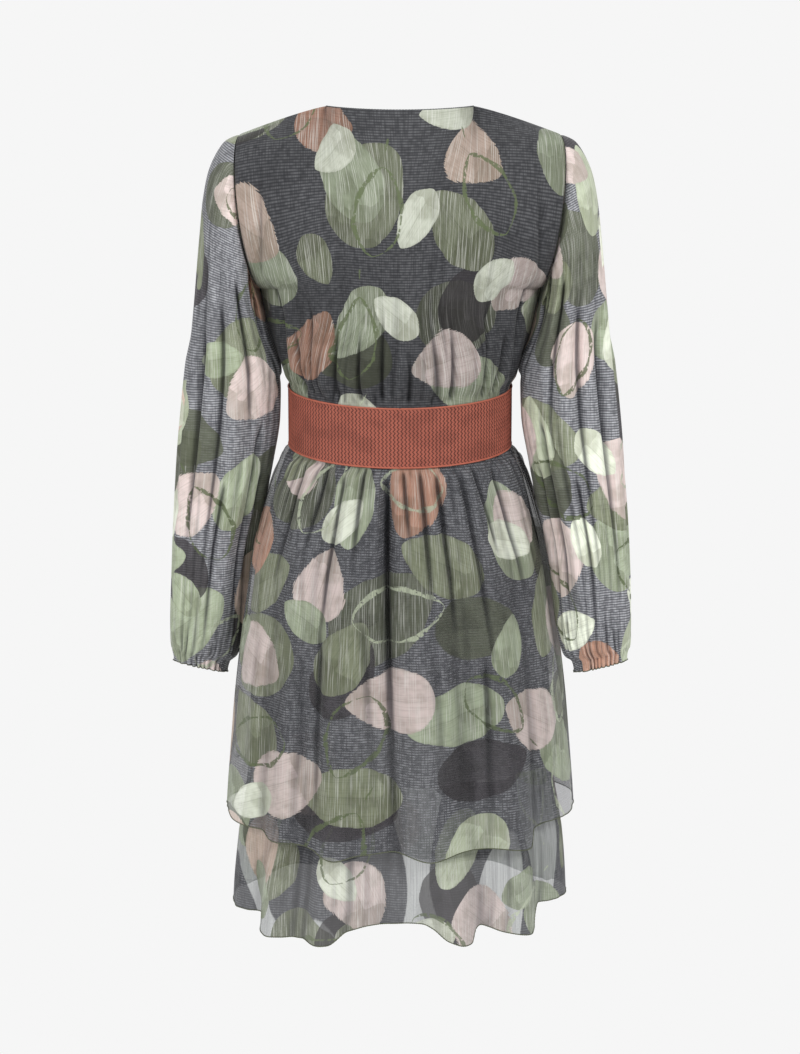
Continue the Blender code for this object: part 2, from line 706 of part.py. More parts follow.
def build_belt():
    rows = [0.0, 0.045, 0.955, 1.0]

    def place(u, v):
        angle = 360.0 * u
        over = smooth((BELT_IN - angle) / BELT_STEP) * smooth((angle - BELT_OUT) / BELT_STEP)
        roll = EDGE_ROLL if v < 0.02 or v > 0.98 else 0.0
        point = section_point(angle, waist_z(angle), BELT_CLEAR + ELASTIC + LAP * over + roll)
        return point + Vector((0.0, 0.0, BELT_HEIGHT * (0.5 - row_level(v, rows))))

    def square(u, v):
        return square_to(place, u, 0.5, False)

    cloth_wall("belt", 56, len(rows) - 1, place, square, False, ELASTIC, True, BELT_COLOUR)


for old in list(bpy.data.objects):
    bpy.data.objects.remove(old, do_unlink=True)
shoulders = bpy.data.objects.new("shoulders", None)
bpy.context.collection.objects.link(shoulders)

build_bodice("bodice_back", BACK, LEFT, 44, [(0.0, -1.0), (12 / 44, -NECK), (32 / 44, NECK), (1.0, 1.0)],
             lambda across: 1.0, lambda across, level: 0.0)
front_stops = [(0.0, 1.0), (8 / 24, NECK), (1.0, WRAP_END)]
build_bodice("bodice_front_left", FRONT, LEFT, 24, front_stops,
             lambda across: min(wrap_edge(across), 1.0), lambda across, level: 0.0)
build_bodice("bodice_front_right", FRONT, RIGHT, 24, front_stops,
             lambda across: min(wrap_edge(across), 1.0), front_lap)

build_skirt_piece("overlay_back", -90.0, 180.0, 56, 10, lambda a: waist_z(a) - 0.5 * SEAM,
                  lambda a, past: read(BACK_HEM, "z", a), overlay_point)
build_skirt_piece("overlay_front_left", 90.0, 126.4, 30, 9, lambda a: waist_z(a) - 0.5 * SEAM,
                  lambda a, past: read(FRONT_HEM, "z", past), overlay_point, True)
build_skirt_piece("overlay_front_right", 270.0, -126.4, 30, 9, lambda a: waist_z(a) - 0.5 * SEAM,
                  lambda a, past: read(FRONT_HEM, "z", past),
                  lambda a, z: overlay_point(a, z, hem_lap(a)), True)
for name, start in (("back", -90.0), ("front", 90.0)):
    build_skirt_piece("underskirt_" + name, start, 180.0, 24, 7, lambda a: waist_z(a) - 0.5 * SEAM,
                      lambda a, past: TIER_TOP + 0.5 * SEAM, underskirt_point)
    build_skirt_piece("flounce_" + name, start, 180.0, 42, 5, lambda a: TIER_TOP - 0.5 * SEAM,
                      lambda a, past: read(TIER_HEM, "z", a), tier_point)
for side, hand in (("left", LEFT), ("right", RIGHT)):
    build_sleeve(side, hand, 22, 13)
    build_cuff(side, hand, 56)
build_belt()
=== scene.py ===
# Looks of the wrap dress: thin printed cloth, rolled hems, a ribbed elastic belt, floor, light and camera.
# Metres, but the tables of the form are in millimetres; +Z up, the wearer faces -Y, the wearer's left is +X.
# Angles run round the body in degrees: 0 centre back, 90 left side, 180 centre front.

import math

import bmesh
import bpy
import numpy as np
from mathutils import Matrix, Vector


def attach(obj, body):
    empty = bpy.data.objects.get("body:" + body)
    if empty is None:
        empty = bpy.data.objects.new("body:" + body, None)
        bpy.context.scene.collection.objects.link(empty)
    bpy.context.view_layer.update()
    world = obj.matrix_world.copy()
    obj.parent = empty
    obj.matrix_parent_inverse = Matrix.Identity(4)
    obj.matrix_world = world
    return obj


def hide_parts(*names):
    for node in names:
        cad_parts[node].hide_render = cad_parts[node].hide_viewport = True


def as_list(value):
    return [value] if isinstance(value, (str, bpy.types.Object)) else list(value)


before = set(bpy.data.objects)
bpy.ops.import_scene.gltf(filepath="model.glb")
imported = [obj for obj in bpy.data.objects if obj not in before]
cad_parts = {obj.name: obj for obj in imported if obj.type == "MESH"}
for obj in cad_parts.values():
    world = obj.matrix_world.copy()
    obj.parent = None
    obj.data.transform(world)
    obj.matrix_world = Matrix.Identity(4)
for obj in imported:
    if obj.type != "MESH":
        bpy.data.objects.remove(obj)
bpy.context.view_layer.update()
print("frame loaded")

# the dress's form: the functions up to the cloth give a point for a place on the body

mm = 0.001
body = {
    "waist": 0.3391,           # waist seam below the shoulders, at the side
    "waistDip": 0.0135,        # how much lower it runs at centre back
    "beltEdge": 0.034,         # where the cloth leaves the belt, above and below the waist
    "neckHalf": 0.0801,
    "neckBack": 0.055,
    "neckDrop": 0.0036,
    "neckFront": 0.052,
    "throatDrop": 0.045,
    "tipX": 0.1750,            # shoulder tip
    "tipZ": -0.0301,
    "shoulderBow": 1.2,
    "underarmX": 0.1556,
    "underarmZ": -0.1970,
    "armholeDepth": 0.060,
    "backBulge": 0.0100,
    "frontBulge": -0.0090,
    "vLevel": 0.50,            # level where the neckline edges cross at centre front
    "wrapEnd": -0.404,         # how far past centre front each front reaches
    "lap": 0.0040,             # the right fronts lie this far outside the left ones
    "seamDip": 0.0011,         # how deep a sewn seam draws the cloth in
    "cornerReach": 0.17,       # how far the corners of the neckline round off below the edge
}
skirtForm = {
    "below": [0, 34, 44, 58, 75, 118, 150, 200, 254, 326, 385, 445, 500, 600],
    "width": [122.5, 122.6, 132.5, 138, 144.4, 157, 165.6, 172.9, 181.2, 189.9, 194.8, 199.4, 201.7, 203.9],
    "back": [93, 93.2, 101, 107.5, 113, 123, 130, 137.5, 142.5, 146, 149, 153, 155, 157],
    "front": [90, 90.2, 96, 99.5, 103, 110, 115, 119, 123.5, 130, 136, 141, 144, 146],
}
innerForm = {                  # how far the underskirt and the lower tier lie inside the upper skirt
    "below": [0, 40, 100, 200, 300, 390, 430, 480, 540, 590],
    "inset": [2.2, 6, 8.5, 12, 17.5, 22.5, 21.5, 15, 12, 11],
}
bodiceForm = {                 # level runs from the waist to the shoulders
    "level": [0, 0.11, 0.15, 0.2, 0.3, 0.4, 0.47, 0.6, 0.75, 0.88, 1],
    "width": [122.5, 122.8, 128.5, 134.5, 145.5, 152.5, 156, 163, 170, 173.5, 175],
    "back": [93, 93.5, 98.5, 103, 107, 109.5, 110.5, 111, 106, 88, 55],
    "front": [90, 90.5, 96, 103, 115, 120.5, 120, 112, 98, 78, 52],
}
sleeveForm = {                 # run goes from the armhole to the cuff
    "run": [0, 0.06, 0.13, 0.2, 0.28, 0.36, 0.44, 0.52, 0.6, 0.68, 0.76, 0.85, 0.92, 0.97, 1],
    "outX": [175, 190, 209.5, 216.6, 223.2, 229.5, 236.2, 243, 250, 255.7, 261.2, 265.7, 267.2, 266.8, 265.2],
    "outZ": [-30.1, -36.8, -69, -102, -154, -212, -270, -325, -385, -441, -500, -560, -595, -613, -620.5],
    "inX": [155.6, 153.6, 153.5, 152.4, 147.5, 139.2, 134, 135.2, 143, 155.3, 170, 179, 185.5, 191.5, 199.5],
    "inZ": [-197, -206, -216, -229, -252, -280, -310, -345, -393, -443, -500, -560, -602, -624, -633.5],
    "depth": [60, 66.5, 70, 70.5, 69.5, 67, 63.5, 60, 57.5, 54, 50, 46, 43, 38.5, 33.5],
}
cuffFoot = {"outX": 263.6, "outZ": -632, "inX": 203, "inZ": -645.5, "depth": 30.5}
hang = {
    "left": (-0.036, 0, 0.0032),         # how far the wrist is back, raised and inward
    "right": (0.050, 0.0220, 0.0110),
    "from": -0.14,             # height where the sleeve starts to swing
    "over": 0.50,
    "bend": 1.1,
}

# folds: place at the top and at the hem, spread, height there; troughs are negative
skirtFolds = [
    (5, 1, 4.2, -9, -6), (15, 12, 6, 4.5, 2), (-4, -9, 6.5, 4, 7), (24, 23, 7, 2, 8), (33, 36, 6, -4, -7),
    (-21, -26, 7, -3.5, -8), (-32, -41, 8, 3, 7), (48, 52, 5, 2, -7), (-46, -52, 5, -3, -8), (66, 70, 9, 2, 3),
    (-64, -70, 9, 2, 3), (108, 106, 9, -3, -7), (126, 127, 9, 3, 7), (148, 150, 8, -4, -8), (168, 171, 9, 3, 7),
    (190, 192, 8, -4, -7), (211, 213, 9, 3, 6), (234, 234, 9, -3, -8), (254, 256, 8, 2, 6),
]
tierWaves = [
    (60, 60, 6, -1, -12), (48, 49, 7, 1, 12), (37, 38, 6, -1, -5), (25, 27, 5, 2, 15), (10, 8, 9, -1, -12),
    (-8, -7, 5, -0.5, -8), (-18, -19.5, 4.5, 2, 15), (-29, -29.5, 4.5, -1, -11), (-43, -45, 6, 1.5, 13),
    (-57, -58, 5.5, -1, -11), (-74, -74, 9, 1, 6), (76, 76, 8, 1, 6), (97, 96, 8, -1, -8),
    (116, 117, 8, 1.5, 12), (135, 135, 8, -1, -11), (154, 155, 8, 1.5, 12), (174, 174, 9, -1, -12),
    (194, 195, 8, 1.5, 12), (214, 214, 8, -1, -11), (235, 236, 8, 1.5, 13), (256, 255, 7, -1, -8),
]
bodiceFolds = [                # places are parts of the half width
    (0.06, 0.02, 0.055, -5.5, -1), (0.17, 0.22, 0.07, 4.5, 1), (-0.08, -0.11, 0.06, 4.5, 1),
    (-0.22, -0.3, 0.06, -4, -1), (0.31, 0.38, 0.06, -4.5, -1), (-0.38, -0.46, 0.07, 3.5, 1),
    (0.47, 0.55, 0.07, 3.5, 1), (-0.6, -0.74, 0.06, -4, -3), (0.63, 0.76, 0.06, -4, -3),
]
sleeveFolds = [
    (80, 66, 15, -1, -5), (112, 100, 16, 1, 4), (46, 34, 14, 1, 4), (250, 262, 16, -1, -5), (300, 312, 16, 1, 4),
]

# creases: place across at the start and at the end, start and end along the cloth, width, height
skirtCreases = [               # along is the distance below the waist
    (6.8, 1.6, 34, 450, 2, -6.2), (10.4, 7.4, 34, 300, 2.2, 2.6), (2.4, -1.5, 40, 400, 2.6, 2.2),
    (17.5, 18.5, 34, 150, 1.6, -3.6), (21.5, 25, 34, 200, 2.2, 2.4), (27, 31, 34, 260, 1.8, -3.6),
    (37.5, 43, 34, 160, 1.9, -3), (43, 47.5, 40, 330, 3.2, 2), (54, 57, 34, 190, 2, -3.4),
    (61.5, 62.5, 36, 130, 2.2, 2), (-1.5, -4, 34, 120, 1.5, -3.4), (-9.5, -12, 34, 190, 1.7, -3.6),
    (-13.5, -15.5, 34, 230, 2.6, 2.4), (-17.5, -21.5, 34, 240, 1.6, -4), (-25.5, -30, 34, 150, 2.2, 2.4),
    (-30, -35.5, 36, 300, 2, -3.2), (-38.5, -43, 34, 150, 1.8, -3.6), (-51, -55, 34, 210, 2.1, -3.2),
    (-57, -60, 40, 300, 3.4, 2), (14, 6, 180, 470, 3.4, -3), (30, 27.5, 210, 480, 2.6, -3.4),
    (41, 43, 250, 480, 3.2, 2.8), (-16, -18, 220, 480, 3.2, 2.8), (-32, -31, 230, 480, 2.6, -3.2),
    (-48, -47, 200, 480, 3.2, 2.2), (57, 60, 220, 470, 3.2, 2.4), (76, 79, 60, 460, 3.6, -2.2),
    (-74, -79, 60, 460, 3.6, -2.2), (98, 96, 40, 300, 3, 2.2), (116, 113, 34, 260, 2.4, -3),
    (136, 133, 34, 360, 3.4, 2.4), (158, 152, 34, 300, 2.6, -3), (180, 176, 34, 400, 3.6, 2.2),
    (200, 206, 34, 280, 2.6, -3), (222, 226, 34, 330, 3.4, 2.2), (244, 247, 34, 240, 2.4, -3),
    (262, 264, 40, 300, 3, 2),
]
bodiceCreases = [              # across as a part of the half width, along as level
    (0.1, 0.12, 0.1, 0.42, 0.02, -3.6), (0.02, -0.02, 0.1, 0.34, 0.024, 2.4),
    (-0.05, -0.06, 0.1, 0.3, 0.018, -3.4), (-0.15, -0.2, 0.1, 0.46, 0.03, 2.4),
    (0.22, 0.27, 0.1, 0.36, 0.019, -3.4), (0.38, 0.46, 0.1, 0.44, 0.022, -3),
    (-0.3, -0.36, 0.1, 0.4, 0.02, -3.4), (-0.44, -0.53, 0.1, 0.36, 0.026, 2.2),
    (-0.52, -0.66, 0.1, 0.5, 0.022, -3.2), (0.54, 0.68, 0.1, 0.5, 0.022, -3.2),
]
for startAt, endAt, *rest in (  # the same at both armholes
        (0.7, 0.88, 0.11, 0.62, 0.04, 3), (0.8, 0.94, 0.14, 0.66, 0.024, -3.8),
        (0.62, 0.8, 0.1, 0.4, 0.016, -2.6), (0.86, 0.62, 0.58, 0.97, 0.05, 1.4),
        (0.93, 0.8, 0.56, 0.9, 0.03, -1.6)):
    bodiceCreases += [(startAt, endAt, *rest), (-startAt, -endAt, *rest)]
sleeveCreases = [              # across in degrees, 90 straight behind and 180 next to the body; along as run
    (128, 158, 0.06, 0.44, 5, -6.5), (143, 166, 0.12, 0.52, 4.5, -6), (112, 136, 0.14, 0.56, 7, 3.5),
    (152, 168, 0.26, 0.62, 7, 3.5), (104, 122, 0.2, 0.66, 5, -4), (92, 100, 0.26, 0.84, 9, 3),
    (78, 82, 0.3, 0.9, 5.5, -3.6), (64, 66, 0.24, 0.8, 9, 3), (50, 46, 0.36, 0.94, 6, -3.8),
    (34, 30, 0.3, 0.88, 9, 3), (132, 140, 0.52, 0.97, 5.5, -4.4), (118, 112, 0.58, 0.97, 7, 3.4),
    (150, 158, 0.6, 0.97, 6, -3.8), (96, 92, 0.62, 0.98, 5, -3.8), (18, 14, 0.2, 0.7, 7, -2.8),
    (0, 4, 0.4, 0.95, 8, 2.8), (232, 204, 0.06, 0.46, 5, -6), (218, 196, 0.14, 0.54, 4.5, -5),
    (246, 226, 0.16, 0.6, 7, 3.5), (262, 250, 0.26, 0.84, 5.5, -4), (280, 276, 0.28, 0.9, 9, 3),
    (298, 300, 0.34, 0.94, 6, -3.6), (318, 322, 0.24, 0.84, 9, 3), (336, 340, 0.44, 0.96, 6, -3.4),
    (226, 218, 0.56, 0.97, 5.5, -4), (244, 246, 0.64, 0.98, 5, 3),
]
creaseForm = {"trough": 2, "ridge": 1.5, "narrow": 0.85}     # how much the creases' tables are stretched
backHem = {
    "angle": [-95, -81, -60, -51, -46, -30, -21, -10, 3, 13, 21, 30, 46, 54, 68, 81, 95],
    "z": [-789.3, -789.3, -788.5, -793.5, -811, -805, -805.5, -811.5, -801.8, -805.5, -813, -803, -805, -796.6,
          -795.3, -789.3, -789.3],
}
frontHem = {                   # degrees past the side seam
    "past": [-5, 5, 20, 45, 65, 82, 97, 110, 120, 126.4],
    "z": [-789.3, -789.3, -787, -774, -745, -690, -605, -510, -425, -390],
}
tierHem = {
    "angle": [-95, -88, -72, -59, -52, -47, -38, -32, -28.5, -26.5, -24, -16, -11, -8, -1.5, 10, 18, 24, 31,
              46, 53, 58, 68, 77, 90, 117, 135, 155, 174, 195, 214, 236, 256, 265, 272],
    "z": [-893.5, -893, -889, -889.5, -911.5, -912.5, -908, -901, -897.5, -900, -913, -907.5, -895, -890.5, -888,
          -893, -900, -914, -913.8, -916.5, -913.5, -901, -903, -901, -895, -915, -898, -914, -896, -915, -898,
          -914, -896, -893.5, -893],
}


def rise(x, low, high):
    # 0 at low and 1 at high, with a soft step between; low may be the larger one
    x = np.clip((x - low) / (high - low), 0, 1)
    return x * x * (3 - 2 * x)


def bell(x):
    return np.exp(-x ** 2)


def sine(turns):
    return np.sin(math.tau * turns)


def around(angle):
    return np.sin(np.radians(angle)), np.cos(np.radians(angle))


openPiece = 10                 # instead of a turn of 360: nothing on the bodice wraps round


def nearest(away, turn=360):
    return away - turn * np.round(away / turn)


def curve(form, column, at):
    # a column's value in metres, on the smooth curve through its rows, keyed by the form's first column
    keys = np.array(next(iter(form.values())), float)
    values = mm * np.array(form[column])
    at = np.clip(at, keys[0], keys[-1])
    i = np.clip(np.searchsorted(keys, at, side="right") - 1, 0, len(keys) - 2)
    slopes = np.diff(values) / np.diff(keys)
    first = np.concatenate([slopes[:1], slopes])
    second = np.concatenate([slopes, slopes[-1:]])
    both = first * second
    shared = np.where(both > 0, 2 * both / np.where(both > 0, first + second, 1), 0)
    step = np.diff(keys)[i]
    x = (at - keys[i]) / step
    y = 1 - x
    return (values[i] * y * y * (1 + 2 * x) + values[i + 1] * x * x * (3 - 2 * x)
            + step * x * y * (shared[i] * y - shared[i + 1] * x))


def foldHeight(table, at, down, turn=360):
    total = 0
    for topAt, hemAt, spread, top, hem in table:
        away = nearest(at - topAt - (hemAt - topAt) * down, turn)
        total = total + mm * (top + (hem - top) * down) * bell(away / spread)
    return total


def creases(table, at, along, turn=360):
    total = 0
    for startAt, endAt, start, end, width, height in table:
        share = np.clip((along - start) / (end - start), 0, 1)
        away = nearest(at - startAt - (endAt - startAt) * share, turn)
        height = mm * height * creaseForm["trough" if height < 0 else "ridge"]
        ease = rise(share, 0, 0.12) * rise(share, 1, 0.3)
        total = total + height * ease * bell(away / (width * creaseForm["narrow"]))
    return total


def ripple(turn, seed, low=1, high=6, waves=5):
    # an uneven smooth line round the body, about -1 to 1; turn is in whole turns
    rng = np.random.default_rng(seed)
    total = 0
    for k in range(waves):
        rate = round(low + (high - low) * (k + rng.uniform(-0.3, 0.3)) / (waves - 1))
        total = total + math.sqrt(2 / waves) * sine(rate * turn + rng.random())
    return total


def waistZ(angle):
    # lower at centre back than at the sides, and a little higher at centre front
    behind = np.cos(np.radians(angle))
    return -body["waist"] - body["waistDip"] * behind * (1 - 0.5 * rise(behind, 0, -1))


gatherForm = {
    "start": 0.0335,           # from the waist, under the belt's edge
    "reach": 0.050,
    "pleats": 27,              # round the whole waist
    "height": 0.0034,
    "finePleats": 61,
    "fineHeight": 0.0016,
}


def gathers(angle, away, seed=4):
    # fine uneven gathers beside the belt, which die out at different distances from it
    turn = angle / 360
    past = np.maximum(away - gatherForm["start"], 0)
    reach = gatherForm["reach"] * (1 + 0.6 * ripple(turn, seed, 4, 17))
    wave = sine(gatherForm["pleats"] * turn + 0.35 * ripple(turn, seed + 1, 3, 11))
    fine = sine(gatherForm["finePleats"] * turn + 0.40 * ripple(turn, seed + 2, 5, 17))
    size = 0.75 + 0.45 * ripple(turn, seed + 3, 3, 13)
    size = size * (1 - 0.5 * rise(np.cos(np.radians(angle)), -0.25, -0.75))     # half in the wrapped front
    coarse = wave * rise(past, 0, 0.014) * np.exp(-past / np.maximum(reach * 1.2, 0.014))
    small = fine * rise(past, 0, 0.005) * np.exp(-past / np.maximum(reach * 0.45, 0.008))
    return size * (gatherForm["height"] * coarse + gatherForm["fineHeight"] * small)


def sideSeams(angle):
    return -body["seamDip"] * bell((np.abs(nearest(angle)) - 90) / 0.55)


slack = {"overlay": 0.00035, "underskirt": 0.0004, "tier": 0.0006, "sleeve": 0.00045}     # height of the ripples


def crinkle(angle, z, seed):
    # slack in thin cloth: long narrow ripples that wander as they fall
    turn = angle / 360
    drift = 0.004 * np.sin(z * 21 + seed) + 0.002 * np.sin(z * 53 + 2 * seed)
    return ripple(turn + drift, seed, 18, 70, 9) * (0.55 + 0.45 * np.sin(z * 17 + 3 * ripple(turn, seed + 9)))


def sectionPoint(angle, z, out):
    # out is square to the skirt's oval section
    below = (waistZ(angle) - z) / mm
    x, y = around(angle)
    width = curve(skirtForm, "width", below)
    depth = np.where(y > 0, curve(skirtForm, "back", below), curve(skirtForm, "front", below))
    length = np.hypot(x / width, y / depth)
    return np.stack([width * x + out * x / width / length, depth * y + out * y / depth / length, z], axis=-1)


def skirtFoldOut(angle, below):
    past = below - body["beltEdge"]
    return foldHeight(skirtFolds, angle, np.clip(past / 0.43, 0, 1)) * rise(past, 0, 0.04)


def overlayPoint(angle, z, out=0):
    below = waistZ(angle) - z
    out = out + skirtFoldOut(angle, below) + gathers(angle, below) + creases(skirtCreases, angle, below / mm)
    out = out + slack["overlay"] * crinkle(angle, z, 3) * rise(below, 0.04, 0.10)
    return sectionPoint(angle, z, out + sideSeams(angle) * rise(below, 0.03, 0.05))


def underskirtPoint(angle, z):
    below = waistZ(angle) - z
    out = skirtFoldOut(angle, below) + 0.4 * gathers(angle, below, 14)
    out = out + 0.9 * creases(skirtCreases, angle, below / mm)
    out = out + slack["underskirt"] * crinkle(angle, z, 8) * rise(below, 0.04, 0.10)
    return sectionPoint(angle, z, out - curve(innerForm, "inset", below / mm))


flounce = {
    "top": -0.735,
    "length": 0.19,
    "freeFrom": -0.79,         # below this height the upper skirt doesn't press on it
    "freeAt": -0.88,
    "pleats": 58,
    "pleatHeight": 0.0013,
}


def tierPoint(angle, z):
    below = waistZ(angle) - z
    turn = angle / 360
    down = np.clip((flounce["top"] - z) / flounce["length"], 0, 1)
    waves = foldHeight(tierWaves, angle, down) * rise(down, 0, 0.2)
    free = rise(z, flounce["freeFrom"], flounce["freeAt"])
    ruffle = flounce["pleatHeight"] * sine(flounce["pleats"] * turn + 0.4 * ripple(turn, 21, 4, 15))
    ruffle = ruffle * np.exp(-down / 0.22) * rise(down, 0, 0.04)
    out = skirtFoldOut(angle, below) * (1 - free) + waves * (0.35 + 0.65 * free) + ruffle
    out = out + slack["tier"] * crinkle(angle, z, 5) * rise(down, 0, 0.2) + sideSeams(angle)
    return sectionPoint(angle, z, out - curve(innerForm, "inset", below / mm))


def armBulge(behind):
    return np.where(behind > 0, body["backBulge"], body["frontBulge"])


def armhole(phi, face):
    # phi is 0 at the shoulder tip and 180 under the arm; face is 1 behind and -1 in front
    s, c = around(phi)
    x = 0.5 * (body["tipX"] + body["underarmX"]) + 0.5 * (body["tipX"] - body["underarmX"]) * c
    z = 0.5 * (body["tipZ"] + body["underarmZ"]) + 0.5 * (body["tipZ"] - body["underarmZ"]) * c
    return x + armBulge(face) * s, face * body["armholeDepth"] * s, z


underarm = (body["waist"] + body["underarmZ"]) / (body["waist"] + body["tipZ"])
neck = body["neckHalf"] / body["tipX"]
vSlope = (1 - body["vLevel"]) / neck


def sideEdge(level, face):
    # up the side seam, then up the armhole
    ax, ay, az = armhole(180 * (1 - (level - underarm) / (1 - underarm)), face)
    width = curve(bodiceForm, "width", level)
    x = width + (body["underarmX"] - curve(bodiceForm, "width", np.array(underarm))) * rise(level, 0, underarm)
    z = -body["waist"] + (body["waist"] + body["underarmZ"]) * level / underarm
    onArm = level > underarm
    return np.where(onArm, ax, x), np.where(onArm, ay, 0), np.where(onArm, az, z)


def topEdge(across, face):
    # the neckline, and the shoulder seams beside it
    x, y = around(90 * across / neck)
    depth = body["neckBack"] if face > 0 else body["neckFront"]
    drop = body["neckDrop"] if face > 0 else body["throatDrop"]
    out = np.clip((np.abs(across) - neck) / (1 - neck), 0, 1)
    onSeam = np.abs(across) >= neck
    return (np.where(onSeam, across * body["tipX"], body["neckHalf"] * x),
            np.where(onSeam, 0, face * depth * y),
            np.where(onSeam, body["tipZ"] * out ** body["shoulderBow"], -drop * y ** 2))


def softTop(across, level, face):
    # the top edge, with its corners rounded off more and more below it
    spread = np.minimum(body["cornerReach"] * np.sqrt(np.clip(1 - level, 0, 1)), 1 - np.abs(across))
    steps = ((-1, 0.12), (-0.5, 0.23), (0, 0.30), (0.5, 0.23), (1, 0.12))
    return sum(share * np.stack(topEdge(across + step * spread, face)) for step, share in steps)


def bodyAngle(across, face):
    return 90 * across if face > 0 else 180 - 90 * across


def plainBody(across, level, face):
    # an oval at the waist turns into a flatter form with fuller corners, and opens into the armholes
    x, y = around(90 * across)
    aside = np.minimum(np.abs(across), 1)
    width = curve(bodiceForm, "width", level)
    depth = curve(bodiceForm, "back" if face > 0 else "front", level)
    flat = rise(level, 0.11, 0.41)
    loose = body["armholeDepth"] * np.sin(math.pi * np.clip((level - 0.36) / 0.64, 0, 1)) ** 1.6
    side = loose + (np.abs(sideEdge(level, face)[1]) - loose) * rise(aside, 0.70, 1)
    bend = y + ((1 - aside ** 2.6) ** 0.62 - y) * flat
    low = waistZ(bodyAngle(across, face))
    return (width * (x + (across - x) * flat), face * (side + (depth - side) * bend),
            low + (softTop(across, level, face)[2] - low) * level)


def sideShift(level, face):
    # from the side of the plain body to the side seam or the armhole, across and up
    ex, _, ez = sideEdge(level, face)
    sx, _, sz = plainBody(np.ones_like(level), level, face)
    return ex - sx, ez - sz


def bodicePoint(across, level, face, out=0):
    across = np.clip(across, -1, 1)
    level = np.clip(level, 0, 1)
    side = np.where(across > 0, 1, -1)
    aside = np.abs(across)
    near = rise(aside, 0.35, 1)
    one = np.ones_like(level)
    px, py, pz = plainBody(across, level, face)

    # draw the sides onto the side seams, and the top onto the neckline
    dx, dz = sideShift(level, face)
    px = px + side * dx * near
    pz = pz + dz * near
    tx, ty, tz = softTop(across, level, face)
    qx, qy, qz = plainBody(across, one, face)
    dx, dz = sideShift(one, face)
    blend = rise(level, 0.72, 1)
    px = px + (tx - qx - side * dx * near) * blend
    py = py + (ty - qy) * blend
    pz = pz + (tz - qz - dz * near) * blend

    angle = bodyAngle(across, face)
    away = pz - waistZ(angle)
    folds = foldHeight(bodiceFolds, across, rise(level, 0, 0.6), openPiece)
    height = folds * rise(away, 0.0355, 0.0605) * rise(level, 0.75, 0.35) + gathers(angle, away, 31)
    height = height + creases(bodiceCreases, across, level, openPiece) * rise(away, body["beltEdge"], 0.046)
    height = height * rise(aside, 1, 0.88)
    height = height + out - body["seamDip"] * bell((1 - aside) / 0.008) * rise(away, 0.03, 0.05)
    dx, dy = around(angle)
    return np.stack([px + height * dx, py + height * dy, pz], axis=-1)


innerBelly = {                 # beside the bodice, and again beside the skirt
    "run": [0, 0.05, 0.1, 0.16, 0.24, 0.33, 0.385, 0.42, 0.5, 0.6, 0.64, 0.69, 0.76, 0.88, 0.95, 1],
    "out": [0, 4, 11.8, 13.8, 12.4, 10.9, 6.4, 0, 0, 0, 1, 3.6, 4.8, 4.6, 2.4, 0],
}
cuffGathers = {"lobes": 34, "depth": 0.0013, "tucks": 23, "tuckHeight": 0.0016, "reach": 0.10, "tilt": 0.0056}


def cuffWave(phi, side):
    turn = phi / 360
    seed = 60 if side == "left" else 70
    wave = sine(cuffGathers["lobes"] * turn + 0.3 * ripple(turn, seed, 2, 9))
    return cuffGathers["depth"] * wave * (0.85 + 0.3 * ripple(turn, seed + 1, 2, 11))


def sleeveHeight(phi, run, side):
    turn = phi / 360
    height = foldHeight(sleeveFolds, phi, run) * rise(run, 0.05, 0.30) * rise(run, 1, 0.88)
    height = height + creases(sleeveCreases, phi, run) * rise(run, 1, 0.95)
    # the cloth bellies out until it lies against the body
    height = height + curve(innerBelly, "out", run) * bell(nearest(phi - 176) / 35)
    wander = 0.006 * np.sin(run * 13 + (1 if side == "left" else 4))
    ripples = ripple(turn + wander, 41 if side == "left" else 45, 9, 34, 8)
    height = height + slack["sleeve"] * ripples * rise(run, 0.08, 0.23) * rise(run, 1, 0.94)
    # tucks of uneven length above the cuff, then the lobes of its elastic
    low = rise(run + cuffGathers["reach"] * (1 + 0.4 * ripple(turn, 81, 5, 19)), 1, 1.1)
    tuck = sine(cuffGathers["tucks"] * turn + 0.4 * ripple(turn, 82, 3, 11)) * (1.5 if side == "right" else 1)
    height = height + cuffGathers["tuckHeight"] * tuck * low * rise(run, 1, 0.982)
    height = height + cuffWave(phi, side) * rise(run, 0.965, 1)
    return height - body["seamDip"] * bell(run / 0.008)


def ringPoint(ring, phi, side, out):
    # a ring of the sleeve goes through its outer, back, inner and front point
    back, raised, inward = hang[side]
    s, c = around(phi)
    mx, hx = 0.5 * (ring["outX"] + ring["inX"]), 0.5 * (ring["outX"] - ring["inX"])
    mz, hz = 0.5 * (ring["outZ"] + ring["inZ"]), 0.5 * (ring["outZ"] - ring["inZ"])
    swing = np.maximum((hang["from"] - mz) / hang["over"], 0) ** hang["bend"]
    outer = inward * swing
    inner = 0.6 * inward * swing ** 3
    tilt = cuffGathers["tilt"] * rise(mz, -0.46, -0.62)
    hx = hx - 0.5 * (outer - inner)
    mx = mx - 0.5 * (outer + inner)
    length = np.hypot(hx, hz)
    return np.stack([mx + hx * c + out * c * hx / length, back * swing + (ring["depth"] + out) * s,
                     mz + raised * swing + hz * c + out * c * hz / length + tilt * s], axis=-1)


# cloth, thread and elastic

oneTurn = 6.283                # in radians


def feed(node, values):
    # wires are linked to the node's sockets, and plain values set on them
    for key, value in values.items():
        if isinstance(value, Wire):
            value.tree.links.new(value.socket, node.inputs[key])
        else:
            node.inputs[key].default_value = value


